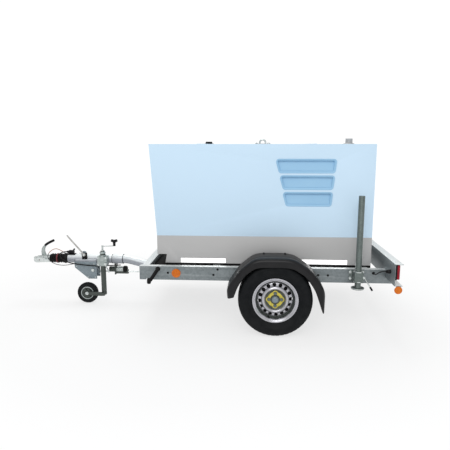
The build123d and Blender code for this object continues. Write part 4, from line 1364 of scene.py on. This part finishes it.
@dataclass
class JockeyWheel:
    """Crank, knob, wheel and clamp lever of the jockey wheel."""

    post: tuple[float, float] = (-1600, -79)
    wheel_x: float = -1759
    wheel_radius: float = 100
    tread_lugs: int = 24

    def build(self) -> None:
        """Build from the crank down to the wheel."""
        self.crank()
        self.wheel()
        self.clamp_lever()

    def crank(self) -> None:
        """Cone under the crank, the bent crank and its forked knob."""
        x, y = self.post
        cone = lathe(
            "jockey_cone",
            [(486, 20.5), (486, 27), (489, 28), (496, 28), (499, 26), (510, 17), (511, 12), (511, 7.5),
            (492, 7.5)],
            (x, y, 0), UP, 40,
        )
        done(cone, "jockey_column", Finishes.casting)
        spindle = lathe(
            "spindle",
            [(430, 0), (430, 7), (511.5, 7), (512, 12), (524, 12), (526, 9), (546, 8), (549, 11), (561, 11),
             (563, 9), (563, 0)],
            (x, y, 0), UP, 32,
        )
        arm = tube("arm", [(x, y, 555), (x + 50, y, 557), (x + 104, y, 560), (x + 116, y, 562),
                                 (x + 116, y, 590)], 5)
        bar = join("jockey_crank_bar", spindle, arm)
        done(bar, "jockey_screw", Finishes.bright_zinc, "jockey_crank")
        knob_x = x + 116
        stem = lathe(
            "stem", [(560, 5), (560, 11), (563, 12), (584, 12), (600, 15), (612, 16), (612, 0), (590, 0)],
            (knob_x, y, 0), UP, 32,
        )
        prongs = [
            soften(rod("prong", (knob_x, y, 604), (knob_x + 29 * way, y, 614), 14, 13, 24), 4, 3)
            for way in (-1, 1)
        ]
        knob = join("jockey_crank_knob", stem, *prongs)
        done(knob, "jockey_screw", Finishes.plastic)

    def wheel(self) -> None:
        """Solid rubber tyre with shallow lugs on a pressed rim whose near lip is lightened as a painted
        highlight, and a hub bolt.
        """
        y = self.post[1]
        hub = (self.wheel_x, y, self.wheel_radius)
        tyre_outline = [
            (-19, 60), (-22, 66), (-24.5, 76), (-25, 84), (-24, 91), (-20, 96.5), (-13, 99.3), (0, 100),
            (13, 99.3), (20, 96.5), (24, 91), (25, 84), (24.5, 76), (22, 66), (19, 60),
        ]
        tyre = lathe("jockey_tyre", tyre_outline, hub, ACROSS, 96)
        step = 2 * math.pi / 96

        def slot(centre: Vector) -> bool:
            """Pick the narrow strips between the lugs."""
            rise, reach = centre.z - self.wheel_radius, centre.x - self.wheel_x
            strip = int((math.atan2(rise, reach) + 2 * math.pi) / step) % (96 // self.tread_lugs) == 0
            return strip and math.hypot(rise, reach) > 93

        done(sink(tyre, slot, 1.6), "jockey_roller", Finishes.tyre, "jockey_wheel")
        rim_outline = [
            (-20, 61), (-22, 58), (-21, 54), (-12, 50), (-7, 40), (-6, 28), (-10, 22), (-21, 18),
            (-22, 12), (-22, 8), (22, 8), (22, 12), (21, 18), (10, 22), (6, 28), (7, 40), (12, 50),
            (21, 54), (22, 58), (20, 61),
        ]
        rim = lathe("jockey_rim", rim_outline, hub, ACROSS, 64)
        done(rim, "jockey_roller", Finishes.zinc_dark)
        # Lighter ring over the rim's near lip only: painted highlight.
        edge = lathe(
            "jockey_rim_edge", [(-21, 53), (-23, 54), (-24, 57), (-23, 61), (-20, 62),
            (-19, 56)], hub, ACROSS, 64
        )
        done(edge, "jockey_roller", Finishes.casting)
        ribs = []
        for number in range(6):
            turn = number * math.pi / 3
            ribs.append(rod("rib", around(hub, 18, turn, 11), around(hub, 52, turn, 14), 3.4, sides=12))
        done(join("jockey_rim_ribs", *ribs), "jockey_roller", Finishes.zinc_dark)
        bolt = hex_bolt("jockey_hub_bolt", (self.wheel_x, y - 35, self.wheel_radius), OUT, 22, 10)
        done(bolt, "jockey_caster", Finishes.bright_zinc)

    def clamp_lever(self) -> None:
        """Bright clamp lever with its boss, and the clamp's bolts."""
        x, y = self.post
        boss = lathe(
            "boss", [(-32, 0), (-32, 5), (4, 5), (4, 11), (6, 13), (14, 13), (16, 11), (16, 0)],
            (x + 34, y - 28, 392), OUT, 28,
        )
        bar = tube("bar", [(x + 34, y - 38, 392), (x + 40, y - 40, 372), (x + 54, y - 42, 344),
                                 (x + 66, y - 42, 319)], 6)
        end = lathe(
            "end", [(-9, 0), (-8, 6), (-3, 9), (3, 9), (8, 6), (9, 0)], (x + 66, y - 42, 320), UP, 20
        )
        lever = join("jockey_clamp_bar", boss, bar, end)
        done(lever, "jockey_lock", Finishes.bright_zinc, "jockey_clamp_lever")
        bolts = [
            hex_bolt("clamp_bolt", (x + way * 36, y - 30, rise), OUT, 15, 8)
            for way, rise in ((-1, 448), (-1, 384), (1, 448))
        ]
        done(join("jockey_clamp_bolts", *bolts), "root", Finishes.bright_zinc)
        collar = lathe(
            "jockey_collar", [(0, 24.2), (0, 30), (3, 32), (9, 32), (12, 30), (12, 24.2)], (x, y, 460),
            UP, 40
        )
        done(collar, "root", Finishes.casting)


# ---- lamps and reflectors -------------------------------------------------------------------


@dataclass
class Lamps:
    """Tail lamps, reflectors, marker lamps and the plugs of the lamp cables."""

    lens_ribs: int = 9

    def build(self) -> None:
        """Build the left-hand pieces and copy them across."""
        amber = Finishes.amber_lens
        for piece, finish, *nodes in (
            *self.tail_lamp(),
            (self.reflector("rear_reflector", (921, -838, 415), 30, 5), amber, "side_reflectors"),
            (self.reflector("front_reflector", (-811, -605, 454), 37, 6), amber),
            *self.marker(),
            (self.plug(), Finishes.plastic, "lamp_plugs"),
        ):
            both(piece, f"{piece.name}_{{}}", "root", finish, *nodes)

    def tail_lamp(self) -> list[tuple]:
        """Housing, red outer lens, amber middle and red inner lens, each with fine ribs."""
        low, high = span("tail_lamps")
        front, rear = low.x, high.x
        housing = soften(block("tail_lamp_housing", (front, -839, 492), (front + 14, -619, 612)), 3, 3)
        jobs = [(housing, Finishes.plastic, "tail_lamps")]
        parts = (("outer", -837, -752, Finishes.red_lens), ("amber", -751, -700, Finishes.amber_lens),
                 ("inner", -699, -621, Finishes.red_lens))
        for word, start, end, finish in parts:
            lens = soften(
                block(f"tail_lens_{word}", (front + 13, start, 495), (rear - 1, end, 609)), 6, 4
            )
            heights = [503 + 12.2 * number for number in range(self.lens_ribs)]
            ribs = [
                rod("rib", (rear - 1.4, start + 7, z),
                (rear - 1.4, end - 7, z), 1.3, sides=8) for z in heights
            ]
            jobs.append((join(f"tail_lens_{word}", lens, *ribs), finish))
        screws = [
            lathe("screw", [(-3, 0), (-3, 4), (0.3, 4), (0.8, 2), (0.8, 0)], (rear - 1, y, 552), AFT, 14)
            for y in (-751.5, -699.5)
        ]
        jobs.append((join("tail_lamp_screws", *screws), Finishes.bright_zinc))
        return jobs

    def reflector(self, name: str, seat: Place, radius: float, depth: float) -> Piece:
        """Round reflector with a raised edge and rings pressed into its face."""
        outline = [(0, 0), (0, radius - 1), (1, radius), (depth - 1, radius), (depth, radius - 1)]
        outline += [(depth, radius - 4), (depth - 1.2, radius - 5.5)]
        rings = 4
        for number in range(rings):
            outer = (radius - 7) * (rings - number) / rings
            outline += [(depth - 1.2, outer), (depth - 0.5, outer - 1.5)]
        outline.append((depth - 0.4, 0))
        return lathe(name, outline, seat, OUT, 48)

    def marker(self) -> list[tuple]:
        """Rubber arm that holds a lamp with a white lens to the front."""
        foot = lathe(
            "foot", [(0, 0), (0, 20), (5, 20), (8, 16), (12, 13), (12, 0)], (-963, -605, 488), OUT, 28
        )
        arm = tube(
            "arm",
            [(-963, -610, 488), (-966, -628, 482), (-984, -672, 452), (-1003, -718, 424),
            (-1010, -733, 420)], 15,
        )
        case = lathe(
            "case", [(-14, 0), (-14, 20), (-10, 24), (6, 25), (9, 24), (11, 22), (11, 0)],
            (-1011, -733, 422),
            (-1, 0, 0), 32,
        )
        rubber = join("marker_arm", foot, arm, case)
        front = lathe(
            "marker_lens_front", [(10, 0), (10, 21), (14, 21.5), (19, 20), (22, 14), (22.8, 7), (23, 0)],
            (-1011, -733, 422), (-1, 0, 0), 32,
        )
        return [
            (rubber, Finishes.rubber, "marker_lamps"), (front, Finishes.white_lens),
        ]

    def plug(self) -> Piece:
        """Cable plug in the back of the tail lamp and the grommet in the side member."""
        length = span("lamp_plugs")[1].x - 852
        body = lathe(
            "plug", [(0, 0), (0, 8), (3, 10), (9, 10), (11, 14), (13, 15), (length, 15),
            (length, 0)],
            (852, -730, 530), AFT, 28,
        )
        grommet = lathe(
            "grommet", [(0, 0), (0, 12), (2, 12), (4, 9), (8, 7), (8, 0)], (792, -605, 480), OUT, 24
        )
        return join("lamp_plug_and_grommet", body, grommet)


# ---- prop stands ----------------------------------------------------------------------------


@dataclass
class PropStands:
    """Levers, clamp bolts and end caps of the two prop stands at the tail."""

    x: float = 658
    y: float = -663
    lever_z: float = 456

    def build(self) -> None:
        """Build the left-hand pieces and copy them across."""
        for piece, body, finish, *nodes in (
            (self.lever(), "prop_lock_{}", Finishes.bright_zinc, "prop_lever_{}"),
            (self.tip(), "prop_lock_{}", Finishes.plastic),
            (self.cap(), "prop_{}", Finishes.zinc_tube),
            (self.foot(), "prop_{}", Finishes.bright_zinc),
            (self.collars(), "root", Finishes.bright_zinc),
            (self.bolts(), "root", Finishes.bright_zinc),
        ):
            both(piece, f"{piece.name}_{{}}", body, finish, *nodes)

    def lever(self) -> Piece:
        """Clamp screw with its collar and a bent bar."""
        screw = lathe(
            "screw", [(29, 0), (29, 6), (36, 6), (36, 11), (38, 12), (45, 12), (47, 10), (56, 8), (57, 0)],
            (self.x, self.y, self.lever_z), AFT, 28,
        )
        bar = tube(
            "bar",
            [(self.x + 51, self.y, 458), (self.x + 58, self.y, 444), (self.x + 88, self.y, 397),
             (self.x + 102, self.y, 375)], 5.5,
        )
        return join("prop_lever_bar", screw, bar)

    def tip(self) -> Piece:
        """Black grip on the end of the lever."""
        return soften(
            rod("prop_lever_grip", (self.x + 97, self.y, 383), (self.x + 117, self.y, 352), 7, 8, 24), 2.5, 3
        )

    def cap(self) -> Piece:
        """Domed cap in the top of the tube."""
        outline = [(1100, 0), (1100, 20.5), (1110.5, 20.5), (1110.8, 16), (1111, 0)]
        return lathe("prop_cap", outline, (self.x, self.y, 0), UP, 36)

    def foot(self) -> Piece:
        """Pressed cup that stands on the ground."""
        outline = [
            (366, 0), (366, 40), (368, 47), (372, 51.5), (375.6, 52.5), (376.4, 51.6), (375.2, 49),
            (374, 30), (374, 0),
        ]
        return lathe("prop_foot_cup", outline, (self.x, self.y, 0), UP, 44)

    def collars(self) -> Piece:
        """Rings at both ends of the clamp."""
        rings = [
            lathe(
                "collar", [(0, 24.3), (0, 35), (1.5, 36.5), (6, 36.5), (7.5, 35), (7.5, 24.3)], (self.x,
                self.y, z),
                UP, 40,
            )
            for z in (423, 503)
        ]
        return join("prop_collars", *rings)

    def bolts(self) -> Piece:
        """Bolts that hold the clamp plate to the side member."""
        heads = [
            hex_bolt("clamp_bolt", (self.x + x, -610, z), OUT, 17, 9)
            for x in (-50, 46) for z in (438, 489)
        ]
        return join("prop_clamp_bolts", *heads)


# ---- power unit -----------------------------------------------------------------------------


@dataclass
class Housing:
    """Louvre scoops, tail door, roof fittings and the seal between skid and chassis; the seal and a front
    tray are near-black as painted shade.
    """

    side_y: float = -520
    corner: float = 18
    deep: float = 26
    shallow: float = 7
    rings: int = 6
    louvres: Sequence[tuple[float, float, float, float, float, float]] = (
        (0, 478, 466, 29, 1383, 1281), (33, 467, 453, 64, 1252, 1148), (60, 455, 444, 90, 1118, 1013),
    )
    cross_places: Sequence[float] = (-510, 90, 700)

    def build(self) -> None:
        """Build the scoops on both sides and the fittings on the other faces."""
        for number, louvre in enumerate(self.louvres):
            # The scoops take the darker blue as painted shade of their recess.
            both(self.scoop(louvre), f"louvre_{number}_{{}}", "root", Finishes.recess_blue, "louvre_panels")
        self.front_panel()
        self.tail_door()
        self.roof()
        # Near-black sheet between the front beam and the skid: painted shade of the space under the canopy.
        shade_tray = soften(block("front_tray", (-1044, -553, 464), (-914, 553, 470)), 2, 2)
        done(shade_tray, "root", Finishes.drum)
        for side in Side:
            self.seal(side)

    def outline(self, louvre: Sequence[float], grow: float) -> list[tuple[float, float]]:
        """Rounded outline of a louvre.

        Args:
            louvre: X of its four corners from the top front, then Z of its top and its bottom.
            grow: how far the outline stands outside the louvre.

        Returns:
            Points in X and Z.
        """
        x0, x1, x2, x3, top, bottom = louvre
        corners = [Vector(c) for c in ((x0, top), (x1, top), (x2, bottom), (x3, bottom))]
        points = []
        steps = 6
        for index, here in enumerate(corners):
            before, after = corners[index - 1], corners[(index + 1) % 4]
            back, ahead = (before - here).normalized(), (after - here).normalized()
            half = back.angle(ahead) / 2
            middle = here + (back + ahead).normalized() * self.corner / math.sin(half)
            start = here + back * self.corner / math.tan(half) - middle
            end = here + ahead * self.corner / math.tan(half) - middle
            for step in range(steps + 1):
                spoke = start.slerp(end, step / steps).normalized()
                points.append(tuple(middle + spoke * (self.corner + grow)))
        return points

    def scoop(self, louvre: Sequence[float]) -> Piece:
        """Pressed scoop, deep at its top and shallow at its bottom, with a thin lip on the panel."""
        top, bottom = louvre[4], louvre[5]
        rims = [(7, 0.4), (7, 1.4), (5, 1.8), (1, 1.6)]
        for number in range(1, self.rings + 1):
            turn = number / self.rings * math.pi / 2
            rims.append((-13 * math.sin(turn), -1 + math.cos(turn)))
        base = None
        for grow, rise in rims:
            points = []
            for x, z in self.outline(louvre, grow):
                share = min(max((z - bottom) / (top - bottom), 0), 1)
                depth = self.shallow + (self.deep - self.shallow) * share
                points.append(at((x, self.side_y + (-rise if rise > 0 else -rise * depth), z)))
            if base is None:
                base = loop("scoop", points)
                continue
            base = join("scoop", base, loop("scoop", points))
            self.select_last(base, 2 * len(points), "EDGE")
            with edit(base):
                bpy.ops.mesh.bridge_edge_loops()
        self.select_last(base, len(points), "VERT")
        with edit(base):
            bpy.ops.mesh.edge_face_add()
            face_out()
        middle = max(base.data.polygons, key=lambda face: face.area)
        if middle.normal.y > 0:
            base.data.flip_normals()
        return modify(base, "SOLIDIFY", thickness=1.5 * MM, offset=-1)

    @staticmethod
    def select_last(piece: Piece, count: int, kind: str) -> None:
        """Select the last points of a mesh, or the edges between them.

        Args:
            piece: mesh object whose loops follow each other.
            count: how many points are the last ones.
            kind: VERT for the points, EDGE for their edges.
        """
        first = len(piece.data.vertices) - count
        bpy.context.tool_settings.mesh_select_mode = (kind == "VERT", kind == "EDGE", False)
        for item in (*piece.data.vertices, *piece.data.edges, *piece.data.polygons):
            item.select = False
        for vertex in piece.data.vertices[first:]:
            vertex.select = kind == "VERT"
        for edge in piece.data.edges:
            edge.select = kind == "EDGE" and min(edge.vertices) >= first

    def front_panel(self) -> None:
        """Air inlet panel on the sloping front, with slats and screws."""
        low, high = span("canopy_shell")
        shell = [spot(v.co) for v in bpy.data.objects["canopy_shell_look"].data.vertices]
        foot = min(v.x for v in shell if v.z < low.z + 60)
        head = min(v.x for v in shell if v.z > high.z - 60)

        def face(z: float) -> float:
            """X of the front at a height."""
            return foot + (head - foot) * (z - low.z) / (high.z - low.z)

        outline = [(face(820), 820), (face(1440), 1440), (face(1440) - 4, 1440), (face(820) - 4, 820)]
        panel = soften(slab("front_panel", outline, (-410, 410)), 1.5, 2)
        done(panel, "root", Finishes.canopy_blue)
        slats, screws = [], []
        for number in range(14):
            z = 900 + number * 30
            slat = block("slat", (face(z) - 11, -300, z), (face(z) - 2, 300, z + 12))
            slats.append(soften(slat, 3, 2))
        # The slats take the darker blue as painted shade.
        done(join("front_grille", *slats), "root", Finishes.recess_blue)
        for y in (-385, 0, 385):
            for z in (845, 1415):
                screws.append(hex_bolt("screw", (face(z) - 4, y, z), (-1, 0, 0), 12, 4))
        done(join("front_panel_screws", *screws), "root", Finishes.bright_zinc)

    def tail_door(self) -> None:
        """Service door on the tail face with its hinges, latch and a drip rail."""
        face = span("canopy_shell")[1].x
        door = soften(block("tail_door", (face, -400, 812), (face + 4, 400, 1440)), 3, 3)
        done(door, "root", Finishes.canopy_blue)
        rail = soften(block("drip_rail", (face, -420, 1456), (face + 12, 420, 1462)), 2, 3)
        done(rail, "root", Finishes.canopy_blue)
        hinges = []
        for z in (920, 1330):
            leaf = soften(block("leaf", (face + 3, -428, z - 40), (face + 7, -372, z + 40)), 1, 2)
            pin = rod("pin", (face + 8, -402, z - 42), (face + 8, -402, z + 42), 6, sides=20)
            hinges += [leaf, soften(pin, 1.5, 2)]
        done(join("door_hinges", *hinges), "root", Finishes.bright_zinc)
        cup = lathe(
            "latch_cup", [(3, 0), (3, 34), (6, 36), (8, 34), (8, 28), (5, 26), (5, 0)], (face, 350, 1120),
            AFT, 36
        )
        done(cup, "root", Finishes.plastic)
        lever = soften(block("latch_lever", (face + 5, 343, 1094), (face + 11, 357, 1146)), 2.5, 3)
        done(lever, "root", Finishes.bright_zinc)
        grille = []
        for number in range(9):
            z = 860 + number * 22
            slat = block("slat", (face + 4, -300, z), (face + 10, -60, z + 9))
            grille.append(soften(slat, 2.5, 2))
        # The slats take the darker blue as painted shade.
        done(join("tail_grille", *grille), "root", Finishes.recess_blue)

    def roof(self) -> None:
        """Lifting eye on its plate, roof beads and the fuel filler cap."""
        top = span("canopy_shell")[1].z
        plate = soften(block("lifting_plate", (-170, -70, top), (-30, 70, top + 5)), 2, 3)
        done(plate, "root", Finishes.base_grey)
        eye = lathe(
            "lifting_eye",
            [(8 * math.cos(k * math.pi / 6), 26 + 8 * math.sin(k * math.pi / 6)) for k in range(12)],
            (-100, 0, top + 14), ACROSS, 40,
        )
        cut(eye, block("below", (-160, -20, top - 40), (-40, 20, top + 2)))
        done(eye, "root", Finishes.bright_zinc)
        bolts = [
            hex_bolt("plate_bolt", (-100 + x, y, top + 5), UP, 18, 8) for x in (-54, 54) for y in (-54, 54)
        ]
        done(join("lifting_plate_bolts", *bolts), "root", Finishes.bright_zinc)
        cap = lathe(
            "filler_cap", [(0, 0), (0, 44), (4, 46), (6, 45), (6, 34), (20, 33), (24, 30), (24, 0)],
            (-620, 330, top), UP, 36,
        )
        done(cap, "root", Finishes.plastic)
        for number, x in enumerate((-640, 300)):
            bead = soften(block(f"roof_bead_{number}", (x, -505, top - 1), (x + 22, 505, top + 3)), 1.8, 3)
            done(bead, "root", Finishes.canopy_blue)
        collar = lathe(
            "exhaust_collar", [(0, 31.2), (0, 50), (3, 50), (5, 46), (8, 36), (12, 33), (12, 31.2)],
            (672, 0, top), UP, 40,
        )
        done(collar, "root", Finishes.exhaust)

    def seal(self, side: Side) -> None:
        """Rubber strip that closes the gap under the skid's edge, notched over the crossmembers; near-black,
        it also stands as painted shade of the gap.
        """
        low, high = span("skid_base")
        foot, notch = low.z - 21, low.z - 13.5
        outline = [(-913, low.z), (-913, foot)]
        for x in self.cross_places:
            outline += [(x - 1, foot), (x - 1, notch), (x + 61, notch), (x + 61, foot)]
        outline += [(high.x, foot), (high.x, low.z)]
        strip = slab(f"skid_seal_{side.word}", outline, tuple(sorted(side.value * y for y in (510, 519))))
        done(strip, "root", Finishes.rubber)


@dataclass
class Fasteners:
    """Bolt heads in the side members."""

    spots: Outline = ((-468, 491), (-502, 444), (352, 456), (430, 456), (-880, 456))
    face: float = 605

    def build(self) -> None:
        """Set the bolts on both sides."""
        for side in Side:
            heads = [
                hex_bolt("frame_bolt", (x, side.value * self.face, z), (0, side.value, 0), 13, 5)
                for x, z in self.spots
            ]
            done(join(f"frame_bolts_{side.word}", *heads), "root", Finishes.drum)


def main() -> None:
    """Build the studio, then the trailer from the road up."""
    for maker in (
        Studio, Cables, RoadWheels, Mudguards, CarriedPieces, Coupling, Handbrake, JockeyWheel, Lamps,
        PropStands, Housing, Fasteners,
    ):
        maker().build()


if __name__ == "__main__":
    main()
